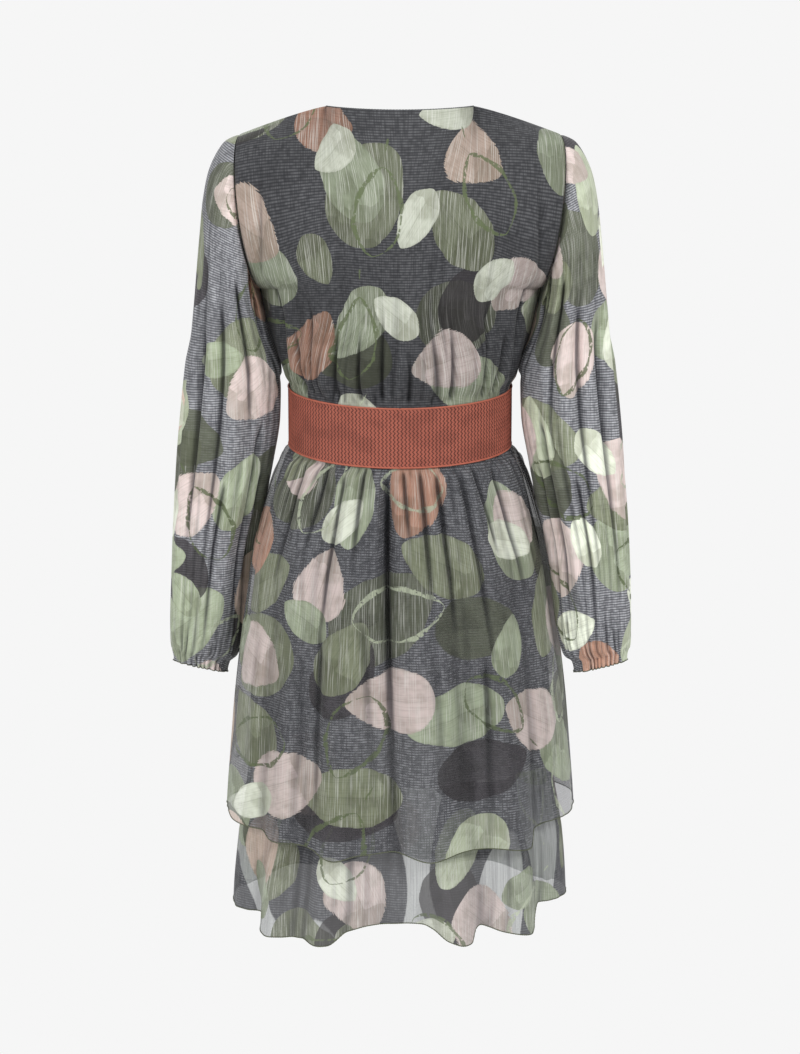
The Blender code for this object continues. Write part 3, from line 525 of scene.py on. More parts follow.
class Wire:
    # a shader socket in an expression; sums and products add their Math nodes
    def __init__(self, tree, socket=None):
        self.tree = tree
        self.socket = socket

    def make(self, kind, settings=None, values=None, out=0):
        node = self.tree.nodes.new(kind)
        for name, value in (settings or {}).items():
            if name == "stops":
                for place, colour in value[2:]:
                    node.color_ramp.elements.new(place)
                for element, (place, colour) in zip(node.color_ramp.elements, value):
                    element.position = place
                for element, (place, colour) in zip(node.color_ramp.elements, value):
                    element.color = colour
                node.color_ramp.interpolation = "CONSTANT"
            else:
                setattr(node, name, value)
        feed(node, values or {})
        return Wire(self.tree, node.outputs[out])

    def out(self, name):
        return Wire(self.tree, self.socket.node.outputs[name])

    def maths(self, operation, *others, clamp=False):
        values = dict(enumerate((self,) + others))
        return self.make("ShaderNodeMath", {"operation": operation, "use_clamp": clamp}, values)

    def __add__(self, other):
        return self.maths("ADD", other)

    def __mul__(self, other):
        return self.maths("MULTIPLY", other)

    def __sub__(self, other):
        return self.maths("SUBTRACT", other)

    def __rsub__(self, other):
        return self.make("ShaderNodeMath", {"operation": "SUBTRACT"}, {0: other, 1: self})

    def __truediv__(self, other):
        return self.maths("DIVIDE", other)

    def __pow__(self, other):
        return self.maths("POWER", other)

    __radd__ = __add__
    __rmul__ = __mul__

    def absolute(self):
        return self.maths("ABSOLUTE")

    def below(self, limit):
        return self.maths("LESS_THAN", limit)

    def rise(self, low, high, first=0, last=1):
        # first below low, last above high, and a soft step between
        return self.make("ShaderNodeMapRange", {"interpolation_type": "SMOOTHSTEP"},
                         {"Value": self, "From Min": low, "From Max": high, "To Min": first, "To Max": last})

    def vector(self, operation, other=(0, 0, 0), out=0):
        return self.make("ShaderNodeVectorMath", {"operation": operation}, {0: self, 1: other}, out)

    def spread(self, x, y):
        return self.vector("MULTIPLY", (x, y, 1))

    def parts(self):
        split = self.make("ShaderNodeSeparateXYZ", {}, {0: self})
        return split, split.out("Y")

    def join(self, other):
        return self.make("ShaderNodeCombineXYZ", {}, {0: self, 1: other})

    def noise(self, x, y, detail=2, rough=0.5):
        return self.make("ShaderNodeTexNoise", {"noise_dimensions": "2D"},
                         {"Vector": self.spread(x, y), "Scale": 1, "Detail": detail, "Roughness": rough})

    def random(self, seed):
        return self.make("ShaderNodeTexWhiteNoise", {"noise_dimensions": "3D"},
                         {"Vector": self.vector("ADD", (0, 0, seed))}, "Color")

    def turned(self, angle):
        return self.make("ShaderNodeVectorRotate", {"rotation_type": "Z_AXIS"}, {"Vector": self, "Angle": angle})

    def blend(self, factor, other, way="MIX"):
        # this colour, covered by another as far as factor says
        return self.make("ShaderNodeMix", {"data_type": "RGBA", "blend_type": way},
                         {0: factor, 6: self, 7: other}, 2)

    def between(self, low, high):
        # a colour between two flat ones
        return self.make("ShaderNodeMix", {"data_type": "RGBA"}, {0: self, 6: low, 7: high}, 2)

    def bump(self, strength, distance):
        return self.make("ShaderNodeBump", {}, {"Height": self, "Strength": strength, "Distance": distance})


def newCloth(name):
    # a material, its shader, and the place on the piece's flat layout
    material = bpy.data.materials.new(name)
    material.use_nodes = True
    tree = material.node_tree
    return material, tree.nodes["Principled BSDF"], Wire(tree).make("ShaderNodeUVMap", {"uv_map": "cloth"})


def dye(red, green, blue):
    # a colour given as on a screen, made linear
    return tuple((c / 255 / 12.92 if c <= 10.3 else ((c / 255 + 0.055) / 1.055) ** 2.4)
                 for c in (red, green, blue)) + (1,)


def tinted(colour, share):
    return tuple(c * share for c in colour[:3]) + (1,)


dyes = {
    "night": dye(64, 65, 70),
    "thread": dye(148, 149, 153),
    "veil": dye(168, 171, 170),
    "sage": dye(158, 168, 143),
    "paleSage": dye(184, 192, 168),
    "olive": dye(124, 130, 106),
    "deepOlive": dye(88, 92, 76),
    "moss": dye(92, 104, 70),
    "cream": dye(226, 231, 214),
    "blush": dye(208, 192, 188),
    "clay": dye(176, 134, 114),
    "peach": dye(206, 184, 170),
    "plum": dye(62, 58, 62),
}
# each layer of the print: size of its cells, half length and half width of a motif, how pointed it is,
# how much it leans to one end, how many cells hold one, its dyes, and how fully it covers
printLayers = [
    {"cell": 0.166, "turn": -0.80, "at": (0.5, 0.8), "long": 0.066, "wide": 0.046, "point": 0.52, "lean": 0.20,
     "keep": 0.66, "dyes": ("olive", "deepOlive", "sage", "olive"), "cover": 0.92, "tear": 0.0006, "rim": 0.25},
    {"cell": 0.150, "turn": 0.35, "at": (0.2, 0.1), "long": 0.059, "wide": 0.038, "point": 0.58, "lean": 0.30,
     "keep": 0.66, "dyes": ("plum", "deepOlive", "plum"), "cover": 0.85, "tear": 0.0006, "rim": 0.10},
    {"cell": 0.142, "turn": -0.50, "at": (0.6, 0.3), "long": 0.057, "wide": 0.035, "point": 0.60, "lean": 0.25,
     "keep": 0.90, "dyes": ("sage", "olive", "paleSage", "sage", "olive"), "cover": 0.97, "tear": 0.0010,
     "rim": 0.35},
    {"cell": 0.134, "turn": 0.80, "at": (0.1, 0.7), "long": 0.047, "wide": 0.036, "point": 0.50, "lean": -0.35,
     "keep": 0.80, "dyes": ("blush", "clay", "blush", "peach", "blush"), "cover": 0.97, "tear": 0.0026,
     "rim": 0.30},
    {"cell": 0.110, "turn": 1.30, "at": (0.4, 0.9), "long": 0.037, "wide": 0.022, "point": 0.60, "lean": 0.20,
     "keep": 0.60, "dyes": ("cream", "sage", "cream", "olive"), "cover": 0.97, "tear": 0.0008, "rim": 0.30},
]
strokeLayer = {"cell": 0.128, "turn": 0.15, "at": (0.3, 0.6), "long": 0.050, "wide": 0.030, "point": 0.62,
               "lean": 0.25, "keep": 0.60, "tear": 0.0012}
seedLayer = {"cell": 0.150, "turn": -0.20, "at": (0.7, 0.2), "keep": 0.55, "reach": 0.040, "pitch": 0.021,
             "long": 0.0072, "wide": 0.0044}
brushwork = {
    "rowShift": 0.37,          # each row of cells lies this much of a cell further on
    "jitter": 0.18,
    "smallest": 0.80,          # as a share of the largest motif
    "wobble": 0.005,
    "deeper": (0.52, 0.52, 0.47, 1),     # the deeper dye, as a share of each motif's own
    "worn": (0.80, 0.80, 0.76, 1),       # opaque paint, worn along the threads
    "edge": 0.0007,
    "rim": (0.0008, 0.0034),
    "vein": (0.0003, 0.0011),
    "stroke": (0.0007, 0.0030),          # thinnest line, and how much wider it gets
    "strokeInset": 0.002,
}


def motif(cloth, layer, seed):
    # one leaf or petal for each cell of a jittered grid, with its own axes and chances
    spot = cloth.turned(layer["turn"]).spread(1 / layer["cell"], 1 / layer["cell"])
    across, up = spot.vector("ADD", layer["at"] + (0,)).parts()
    spot = (across + up.maths("FLOOR") * brushwork["rowShift"]).join(up)
    cell = spot.vector("FLOOR")
    chance = cell.random(seed)
    pick, size = cell.random(seed + 0.5).parts()
    turn, shape = chance.parts()
    jitter = chance.vector("SUBTRACT", (0.5, 0.5, 0.5)).spread(brushwork["jitter"], brushwork["jitter"])
    own = spot.vector("SUBTRACT", cell).vector("SUBTRACT", (0.5, 0.5, 0)).vector("SUBTRACT", jitter)
    own = own.spread(layer["cell"], layer["cell"]).turned(turn * oneTurn)
    return own, pick, size, shape


def leafDepth(own, size, layer):
    # how far inside the leaf's outline a place lies, and where it is on the leaf's own axes
    x, y = own.parts()
    grow = brushwork["smallest"] + (1 - brushwork["smallest"]) * size
    s = y / (grow * layer["long"])
    outline = (1 - s * s).maths("MAXIMUM", 0) ** layer["point"] * (1 + layer["lean"] * s)
    ragged = (own.noise(900, 70, 1) - 0.5) * (2 * layer["tear"])
    wavy = (own.noise(38, 38, 1) - 0.5) * brushwork["wobble"]
    depth = outline * grow * layer["wide"] - x.absolute()
    return depth + (ragged + wavy) * outline.rise(0, 0.40), x, s


def leaves(cloth, streak, layer, seed, toneAndPaintedLight):
    # painted leaves or petals in several dyes
    own, pick, size, shape = motif(cloth, layer, seed)
    depth, x, s = leafDepth(own, size, layer)
    mask = depth.rise(0, brushwork["edge"]) * shape.below(layer["keep"])
    stops = [(i / len(layer["dyes"]), tinted(dyes[d], toneAndPaintedLight ** 0.42)) for i, d in enumerate(layer["dyes"])]
    paint = pick.make("ShaderNodeValToRGB", {"stops": stops}, {"Fac": pick})
    wash = own.noise(26, 26, 3, 0.6)
    brush = own.noise(620, 22)
    dark = paint.blend(1, brushwork["deeper"], "MULTIPLY")
    paint = paint.blend(wash.rise(0.42, 0.74, 0, 0.75), dark)
    paint = paint.blend(brush.rise(0.45, 0.75, 0, 0.35), dark)
    # the tip is dipped in the deeper dye, and a fine vein runs down the middle
    tip = (s + (wash - 0.5) * 0.5 + (pick - 0.5) * 0.4).rise(0.50, 0.52, 0, 0.62)
    vein = x.absolute().rise(*brushwork["vein"], 0.50, 0) * s.rise(-0.85, -0.6)
    rim = depth.rise(*brushwork["rim"], layer["rim"], 0)
    paint = paint.blend(tip.maths("MAXIMUM", vein).maths("MAXIMUM", rim), dark)
    opaque = layer["cover"] > 0.9
    if opaque:
        paint = paint.blend(streak.rise(0.48, 0.72, 0, 0.42), brushwork["worn"])
    return mask, paint, layer["cover"], 1 if opaque else 0.7


def outlines(cloth, streak):
    # leaves drawn with one dry, uneven stroke
    own, pick, size, shape = motif(cloth, strokeLayer, 31)
    depth, x, s = leafDepth(own, size, strokeLayer)
    thin, wider = brushwork["stroke"]
    width = thin + wider * own.noise(24, 24, 1).rise(0.35, 0.7)
    line = ((depth - brushwork["strokeInset"]).absolute() - width).rise(-0.0004, 0.0004, 1, 0)
    line = line * shape.below(strokeLayer["keep"]) * own.noise(240, 240).rise(0.30, 0.45)
    tone = pick.maths("GREATER_THAN", 0.72).between(dyes["moss"], dyes["paleSage"])
    return line, tone.blend(streak.rise(0.40, 0.70, 0, 0.5), dyes["deepOlive"]), 0.86, 0.8


def seeds(cloth, streak):
    # heaps of seeds in slanting rows
    own, pick, size, shape = motif(cloth, seedLayer, 41)
    reach = own.vector("LENGTH", out="Value")
    pitch = seedLayer["pitch"]
    gx, gy = own.turned(0.5).spread(1 / pitch, 0.82 / pitch).parts()
    grid = (gx + 0.5 * gy.maths("FLOOR")).join(gy)
    inside = grid.vector("SUBTRACT", grid.vector("FLOOR")).vector("SUBTRACT", (0.5, 0.5, 0))
    seed = inside.spread(pitch / seedLayer["wide"], pitch / seedLayer["long"]).vector("LENGTH", out="Value")
    spot = seed.rise(0.90, 1, 1, 0) * reach.below(seedLayer["reach"]) * shape.below(seedLayer["keep"])
    return spot, streak.rise(0.42, 0.66, 0, 0.6).between(dyes["moss"], dyes["olive"]), 0.9, 0.6


def printed(cloth, streak, layers, toneAndPaintedLight):
    # from the lowest: where a layer lies, its colour, how fully it covers, and how far it closes the cloth
    for number, layer in enumerate(layers):
        yield leaves(cloth, streak, layer, 3 * number + 1, toneAndPaintedLight)
    if layers:
        yield outlines(cloth, streak)
        yield seeds(cloth, streak)


weave = {
    "pitch": 0.0028,
    "mark": 150,               # marks on a metre of weft
    "bump": 0.0006,
    "veil": 0.76,              # opacity of the ground's pale patches
    # painted shade in the valleys between folds: how strong it is, and its colour
    "paintedShadeStrength": 0.94,
    "paintedShadeColour": (0.20, 0.20, 0.22, 1),
}


def printedCloth(name, opacity, painted, toneAndPaintedLight=1.0, layers=printLayers, fine=1.0, veil=0.0, slubby=0.58):
    # opacity is that of the bare ground, painted that of the ground under paint; the tint lightens or darkens
    # the ground and, less, the paint, partly as painted light and shade; fine is the strength of the weft lines,
    # and slubby how far the slubs break them up; veil says how much of the ground was left pale and sheer,
    # in long patches
    material, shader, cloth = newCloth(name)
    across, up = cloth.parts()

    # weft lines broken into marks, and slubs that run down the cloth
    weft = up / weave["pitch"]
    rib = 0.5 - (weft * oneTurn).maths("COSINE") * 0.5
    marks = (across * weave["mark"]).join(weft.maths("FLOOR") * 7.31).noise(1, 1, 1)
    slub = cloth.noise(900, 42)
    cloud = cloth.noise(11, 11)
    thread = (0.16 + 0.84 * rib) * marks.rise(0.28, 0.62, 1.02 - slubby) * slub.rise(0.32, 0.64, 1 - slubby)
    colour = thread.maths("MULTIPLY", fine, clamp=True)
    colour = colour.between(tinted(dyes["night"], min(toneAndPaintedLight, 1)), tinted(dyes["thread"], toneAndPaintedLight))
    colour = colour.blend(cloud.rise(0.42, 0.64, 0, 0.22), tinted(dyes["night"], 0.6 * toneAndPaintedLight))
    alpha = opacity + thread * 0.10
    streak = cloth.noise(900, 16, 3, 0.65)
    if veil:
        edge = 0.66 - 0.30 * veil
        patch = (cloth.noise(13, 4.5, 0) + 0.02 * streak).rise(edge, edge + 0.012)
        colour = colour.blend(patch, dyes["veil"])
        colour = colour.blend(patch * streak.rise(0.36, 0.66, 0, 0.50), tinted(dyes["thread"], 0.5))
        alpha = alpha + patch * (weave["veil"] - alpha)
    for mask, paint, cover, closed in printed(cloth, streak, layers, toneAndPaintedLight):
        colour = colour.blend(mask * cover, paint)
        alpha = alpha + mask * (painted - alpha) * closed

    # painted shade: the colour is darkened in the valleys between folds, as deep as each valley lies
    hollow = cloth.make("ShaderNodeAttribute", {"attribute_name": "hollow"}, {}, "Fac")
    colour = colour.blend(hollow * weave["paintedShadeStrength"], weave["paintedShadeColour"], "MULTIPLY")
    height = rib * 0.5 + slub * 0.9 + cloth.noise(260, 7) * 2.4
    feed(shader, {"Base Color": colour, "Alpha": alpha.maths("MINIMUM", 0.995), "Roughness": 0.66 + 0.22 * slub,
                  "Normal": height.bump(0.35, weave["bump"]), "Specular IOR Level": 0.25, "Sheen Weight": 0.12,
                  "Sheen Roughness": 0.45})
    return material


def threadCloth(name, tone, pale, pitch=0.0011, slant=220):
    # overlocked thread: slanting stitches
    material, shader, cloth = newCloth(name)
    across, up = cloth.parts()
    stitch = ((across / pitch + up * slant) * oneTurn).maths("SINE") * 0.5 + 0.5
    worn = cloth.noise(160, 160)
    feed(shader, {"Base Color": (stitch * worn).between(tone, pale), "Roughness": 0.60 + 0.2 * worn,
                  "Normal": stitch.bump(0.6, 0.0003)})
    return material


belt = {
    "height": 0.066,
    "clear": 0.0009,
    "wall": 0.0014,
    "ribs": 166,               # all of one width, right round
    "ribHeight": 0.00034,
    "wavePitch": 0.0046,
    "cordPitch": 0.00115,
    "zigzag": 0.50,            # how far the ribs swing, in ribs
    "edge": 0.0011,
    "rust": dye(166, 92, 75),
    "grooveShadeAndMottle": dye(74, 32, 26),
    "bound": dye(204, 130, 112),
}


def ribbedElastic():
    # zigzag ribs, the same wave as the belt's mesh, with the grooves between them darkened as painted shade
    material, shader, cloth = newCloth("ribbedElastic")
    across, up = cloth.parts()
    zig = ((up * (belt["height"] / belt["wavePitch"])).maths("FRACT") * 2 - 1).absolute() - 0.5
    wave = ((across * belt["ribs"] + belt["zigzag"] * zig) * oneTurn).maths("COSINE") * 0.5 + 0.5
    fuzz = (across * 3400).join(up * 130).noise(1, 1, 1)
    cord = (up * (belt["height"] / belt["cordPitch"]) * oneTurn).maths("SINE") * 0.5 + 0.5
    cloud = (across * 26).join(up * 3).noise(1, 1, 1)
    # painted shade: darkest in the grooves, and a little darker between the fine cords
    ribShadeMask = wave.rise(0.04, 0.48) * (0.80 + 0.20 * cord)
    colour = ribShadeMask.between(belt["grooveShadeAndMottle"], belt["rust"]).blend(fuzz.rise(0.50, 0.78, 0, 0.35), belt["bound"])
    # the same dark colour also mottles the elastic in broad, random clouds
    feed(shader, {"Base Color": colour.blend(cloud.rise(0.42, 0.70, 0, 0.22), belt["grooveShadeAndMottle"]),
                  "Roughness": 0.52 + 0.25 * fuzz, "Normal": (ribShadeMask + 0.3 * fuzz).bump(0.8, 0.0004),
                  "Specular IOR Level": 0.3})
    return material


# one printed cloth in lighter and darker copies: the sleeves' copy is lightened and the bodice's darkened, as
# painted light and shade for the less light that falls on the sleeves than on the bodice
cloths = {
    "bodice": printedCloth("bodiceCloth", 0.985, 0.992, 0.42),
    "sleeve": printedCloth("sleeveCloth", 0.97, 0.985, 1.78, slubby=0.46),
    "skirt": printedCloth("skirtCloth", 0.58, 0.82, 1.10),
    "tier": printedCloth("tierCloth", 0.91, 0.93, 0.72, veil=0.40),
    "lining": printedCloth("liningCloth", 0.74, 0.9, 0.9, (), 0.5),
}
edgeThread = threadCloth("edgeThread", dye(66, 70, 56), dye(124, 130, 96))
neckThread = threadCloth("neckThread", dye(74, 76, 80), dye(112, 114, 114))
beltBinding = threadCloth("beltBinding", dye(166, 88, 68), dye(196, 112, 90))
elastic = ribbedElastic()
print("materials made")

# making the pieces

made = {}
# for the painted shade in the valleys between folds
shadeValley = {"reach": 0.0050, "full": 0.0021}     # how wide a hollow is felt for, and how deep a full one is
layout = {                     # where the pieces lie on the printed cloth, and how wide they are there
    "bodiceWide": 0.185,
    "bodiceHigh": 0.345,
    "bodiceUp": 0.9,
    "frontAt": 0.61,
    "skirtWide": 0.165,        # for each radian round the body
    "tierWide": 0.200,
    "left": 2.0,               # the sleeves and cuffs
    "right": 3.3,
    "sleeveTop": 0.45,
    "sleeveFoot": 0.32,
}


def addObject(name, data):
    thing = bpy.data.objects.new(name, data)
    bpy.context.collection.objects.link(thing)
    return thing


def paintedShadeMask(points, columns, closed, reach):
    # how deep each point of the grid lies between its neighbours across the folds, 0 to 1: the mask of the
    # painted shade
    at = np.arange(columns + 1)
    step = np.linalg.norm(np.diff(points, axis=1), axis=-1).mean()
    jump = max(1, min(int(round(reach / step)), columns // 4))
    if closed:
        before, after = (at - jump) % columns, (at + jump) % columns
    else:
        room = np.minimum(np.minimum(at, columns - at), jump)
        before, after = at - room, at + room
    dip = 0.5 * (points[:, before] + points[:, after]) - points
    normal = np.cross(np.gradient(points, axis=1), np.gradient(points, axis=0))
    normal = normal / np.maximum(np.linalg.norm(normal, axis=-1, keepdims=True), 1e-12)
    middle = points.mean(axis=1, keepdims=True) if closed else points * (0, 0, 1) - (0, 0, 0.03)
    outward = np.sign((normal * (points - middle)).sum(axis=-1))
    return np.clip((dip * normal).sum(axis=-1) * outward / shadeValley["full"], 0, 1) ** 0.75


def clothSheet(name, columns, rows, place, flatUv, nodes, material, flipped=False, closed=False,
               reach=shadeValley["reach"]):
    # a grid moved onto the cloth's outer face; place and flatUv take arrays of u and v from 0 to 1
    grid = bmesh.new()
    grid.loops.layers.uv.new("cloth")
    bmesh.ops.create_grid(grid, x_segments=columns, y_segments=rows, size=0.5, calc_uvs=True)
    if flipped:
        bmesh.ops.reverse_faces(grid, faces=grid.faces[:])
    mesh = bpy.data.meshes.new(name)
    grid.to_mesh(mesh)
    spots = np.zeros(len(mesh.vertices) * 3)
    mesh.vertices.foreach_get("co", spots)
    u = spots[0::3] + 0.5
    v = spots[1::3] + 0.5
    points = place(u, v)
    mesh.vertices.foreach_set("co", points.ravel())
    corner = np.zeros(len(mesh.loops), dtype=int)
    mesh.loops.foreach_get("vertex_index", corner)
    flat = np.stack(flatUv(u, v, points), axis=-1)
    mesh.uv_layers["cloth"].data.foreach_set("uv", flat[corner].ravel())
    spot = np.rint(v * rows).astype(int) * (columns + 1) + np.rint(u * columns).astype(int)
    inOrder = np.zeros_like(points)
    inOrder[spot] = points
    # the mask of the painted shade in the valleys, kept on the mesh for the material
    foldShadeValues = paintedShadeMask(inOrder.reshape(rows + 1, columns + 1, 3), columns, closed, reach)
    mesh.attributes.new("hollow", "FLOAT", "POINT").data.foreach_set("value", foldShadeValues.ravel()[spot])
    grid.clear()
    if closed:
        grid.from_mesh(mesh)
        bmesh.ops.remove_doubles(grid, verts=grid.verts[:], dist=1e-6)
        grid.to_mesh(mesh)
    grid.free()
    mesh.update()
    mesh.shade_smooth()
    piece = addObject(name, mesh)
    mesh.materials.append(material)
    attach(piece, "root")
    if nodes:
        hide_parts(*nodes)
    made[name] = piece


def rolledEdge(name, count, edge, material, radius=0.0006, bumps=0.22):
    # a thin tube along the line edge(u), with the small bumps of its thread
    def place(u, v):
        ahead = edge(np.minimum(u + 1e-4, 1)) - edge(np.maximum(u - 1e-4, 0))
        ahead = ahead / np.linalg.norm(ahead, axis=-1, keepdims=True)
        aside = np.cross(ahead, np.broadcast_to(np.array([0.0, 0.0, 1.0]), ahead.shape))
        aside = aside / np.maximum(np.linalg.norm(aside, axis=-1, keepdims=True), 1e-9)
        upward = np.cross(aside, ahead)
        x, y = around(360 * v[:, None])
        ends = np.minimum(np.minimum(u, 1 - u) * count, 1) ** 0.5
        thick = radius * (1 + bumps * sine(u * count * 0.31)) * np.maximum(ends, 1e-4)
        return edge(u) + (aside * y + upward * x) * thick[:, None]

    clothSheet(name, count, 6, place, lambda u, v, p: (u * count * 0.001, v * 0.005), (), material,
               closed=True)


def footOf(place):
    return lambda u: place(u, np.ones_like(u))


def bodiceSheet(name, node, face, side, columns, rows, stops, top, lap):
    at, value = np.array(stops).T

    def where(u, v):
        across = np.interp(u, at, value)
        return side * across, v * top(across)

    def place(u, v):
        across, level = where(u, v)
        return bodicePoint(across, level, face, lap(across * side, level))

    def flatUv(u, v, points):
        across, level = where(u, v)
        return (across * layout["bodiceWide"] + (0 if face > 0 else layout["frontAt"]),
                level * layout["bodiceHigh"] + layout["bodiceUp"])

    clothSheet(name, columns, rows, place, flatUv, (node,), cloths["bodice"], flipped=side > 0)


def wrapEdge(across):
    return body["vLevel"] + vSlope * across


def frontTop(across):
    return np.minimum(wrapEdge(across), 1)


def frontLap(across, level):
    # across is counted towards the front's own side seam, so the other front's edge falls with it
    return body["lap"] * rise(level - wrapEdge(-across), 0.14, 0.04)


backStops = [(0, -1), (0.27, -neck), (0.73, neck), (1, 1)]     # where the grid's columns reach across
frontStops = [(0, 1), (0.33, neck), (1, body["wrapEnd"])]
bodiceSheet("backBodice", "bodice_back", 1, 1, 200, 180, backStops, lambda across: 1, lambda across, level: 0)
bodiceSheet("leftFrontBodice", "bodice_front_left", -1, 1, 120, 150, frontStops, frontTop,
            lambda across, level: 0)
bodiceSheet("rightFrontBodice", "bodice_front_right", -1, -1, 120, 150, frontStops, frontTop, frontLap)
rolledEdge("backNeckEdge", 240, lambda u: bodicePoint((2 * u - 1) * neck, np.ones_like(u), 1), neckThread)
for side, sign in (("left", 1), ("right", -1)):
    def wrapLine(u, sign=sign):
        across = neck + (body["wrapEnd"] - neck) * u
        level = frontTop(across)
        return bodicePoint(sign * across, level, -1, frontLap(across, level) if sign < 0 else 0)

    rolledEdge(side + "WrapEdge", 420, wrapLine, neckThread, radius=0.0009)
print("bodice made")


def skirtSheet(name, node, start, turn, columns, rows, top, hem, surface, material,
               wide=layout["skirtWide"]):
    def where(u, v):
        angle = start + turn * u
        high = top(angle)
        return angle, high + (hem(angle, abs(turn) * u) - high) * v

    def place(u, v):
        return surface(*where(u, v))

    def flatUv(u, v, points):
        angle, z = where(u, v)
        return np.radians(angle) * wide, z

    clothSheet(name, columns, rows, place, flatUv, (node,), material, flipped=turn < 0)
    return place


def hemOf(form):
    # a front's hem is keyed by the degrees past its side seam, the others by the place round the body
    return lambda angle, past: curve(form, "z", past if form is frontHem else angle)


def tierTop(angle, past=None):
    return np.full_like(angle, flounce["top"])


wrapTurn = 126.4               # degrees from a side seam to the end of the front that laps
for name, node, start, turn, columns, rows, count, form, lap in (
        ("backSkirt", "overlay_back", -90, 180, 320, 230, 700, backHem, 0),
        ("leftFrontSkirt", "overlay_front_left", 90, wrapTurn, 190, 180, 520, frontHem, 0),
        ("rightFrontSkirt", "overlay_front_right", 270, -wrapTurn, 190, 180, 520, frontHem, body["lap"])):
    place = skirtSheet(name, node, start, turn, columns, rows, waistZ, hemOf(form),
                       lambda a, z, lap=lap: overlayPoint(a, z, lap * rise(a, 236, 226)), cloths["skirt"])
    rolledEdge(name + "Hem", count, footOf(place), edgeThread)
for half, start in (("back", -90), ("front", 90)):
    skirtSheet(half + "Underskirt", "underskirt_" + half, start, 180, 130, 80, waistZ, tierTop, underskirtPoint,
               cloths["lining"])
    place = skirtSheet(half + "Flounce", "flounce_" + half, start, 180, 300, 96, tierTop, hemOf(tierHem),
                       tierPoint, cloths["tier"], wide=layout["tierWide"])
    rolledEdge(half + "FlounceHem", 800, footOf(place), edgeThread)
print("skirt made")

sleeveClear = 0.0003           # the sleeves stand this far off the armholes


def sleeveSheet(side, sign, columns, rows):
    def place(u, v):
        phi = 180 + 360 * u
        ring = {name: curve(sleeveForm, name, v) for name in cuffFoot}
        point = ringPoint(ring, phi, side, sleeveHeight(phi, v, side))
        s = np.sin(np.radians(phi))
        point[:, 0] += armBulge(s) * np.abs(s) * rise(v, 0.12, 0) + sleeveClear
        point[:, 0] *= sign
        return point

    def flatUv(u, v, points):
        # the grain follows the sleeve: weft lines slope on the cap and are level from the elbow down
        z = points[:, 2]
        slope = 0.62 * rise(z, -0.32, -0.06)
        wide = layout["sleeveTop"] - (layout["sleeveTop"] - layout["sleeveFoot"]) * rise(v, 0, 0.9)
        return (u - 0.5) * wide + layout[side], z - slope * (np.abs(points[:, 0]) - 0.20)

    clothSheet(side + "Sleeve", columns, rows, place, flatUv, ("sleeve_" + side,),
               cloths["sleeve"], flipped=sign > 0, closed=True)


def cuffSheet(side, sign, columns, rows):
    def place(u, v):
        ring = {}
        for name, foot in cuffFoot.items():
            top = sleeveForm[name][-1]
            ring[name] = mm * (top + (foot - top) * v)
        phi = 180 + 360 * u
        # the elastic draws the lobes in, and they flare below it
        tight = 1 - 0.275 * np.sin(math.pi * np.clip(v / 0.8, 0, 1)) ** 2
        point = ringPoint(ring, phi, side, cuffWave(phi, side) * (1 + 0.9 * rise(v, 0.75, 1)) * tight)
        point[:, 0] += sleeveClear
        point[:, 0] *= sign
        return point

    clothSheet(side + "Cuff", columns, rows, place,
               lambda u, v, p: ((u - 0.5) * layout["sleeveFoot"] + layout[side], p[:, 2]),
               ("cuff_" + side,), cloths["sleeve"], flipped=sign > 0, closed=True, reach=0.5 * shadeValley["reach"])
    return place


for side, sign in (("left", 1), ("right", -1)):
    sleeveSheet(side, sign, 170, 270)
    rolledEdge(side + "CuffEdge", 400, footOf(cuffSheet(side, sign, 400, 12)), edgeThread)
print("sleeves made")


def beltOut(angle):
    # further out where the two fronts lie one over the other
    return belt["clear"] + belt["wall"] + body["lap"] * rise(angle, 240, 226) * rise(angle, 122, 136)


def beltSheet():
    turns = np.linspace(0, 360, 1441)
    path = sectionPoint(turns, waistZ(turns), beltOut(turns))
    run = np.concatenate([[0], np.cumsum(np.linalg.norm(np.diff(path, axis=0), axis=-1))])
    run = run / run[-1]

    def onBelt(u, v, out):
        angle = np.interp(u, run, turns)
        point = sectionPoint(angle, waistZ(angle), beltOut(angle) + out)
        point[:, 2] += belt["height"] * (0.5 - v)
        return point

    def place(u, v):
        zig = np.abs(((v * belt["height"] / belt["wavePitch"]) % 1) * 2 - 1) - 0.5
        rib = np.cos(math.tau * (belt["ribs"] * u + belt["zigzag"] * zig))
        return onBelt(u, v, belt["ribHeight"] * rib * rise(v, 0.02, 0.06) * rise(v, 0.98, 0.94))

    clothSheet("elasticBelt", 6 * belt["ribs"], 58, place, lambda u, v, p: (u, v), ("belt",), elastic,
               closed=True)
    for name, v in (("beltTop", 0.012), ("beltFoot", 0.988)):
        rolledEdge(name + "Binding", 480, lambda u, v=v: onBelt(u, v, -0.0002), beltBinding,
                   radius=belt["edge"], bumps=0.06)


beltSheet()
print("belt made")

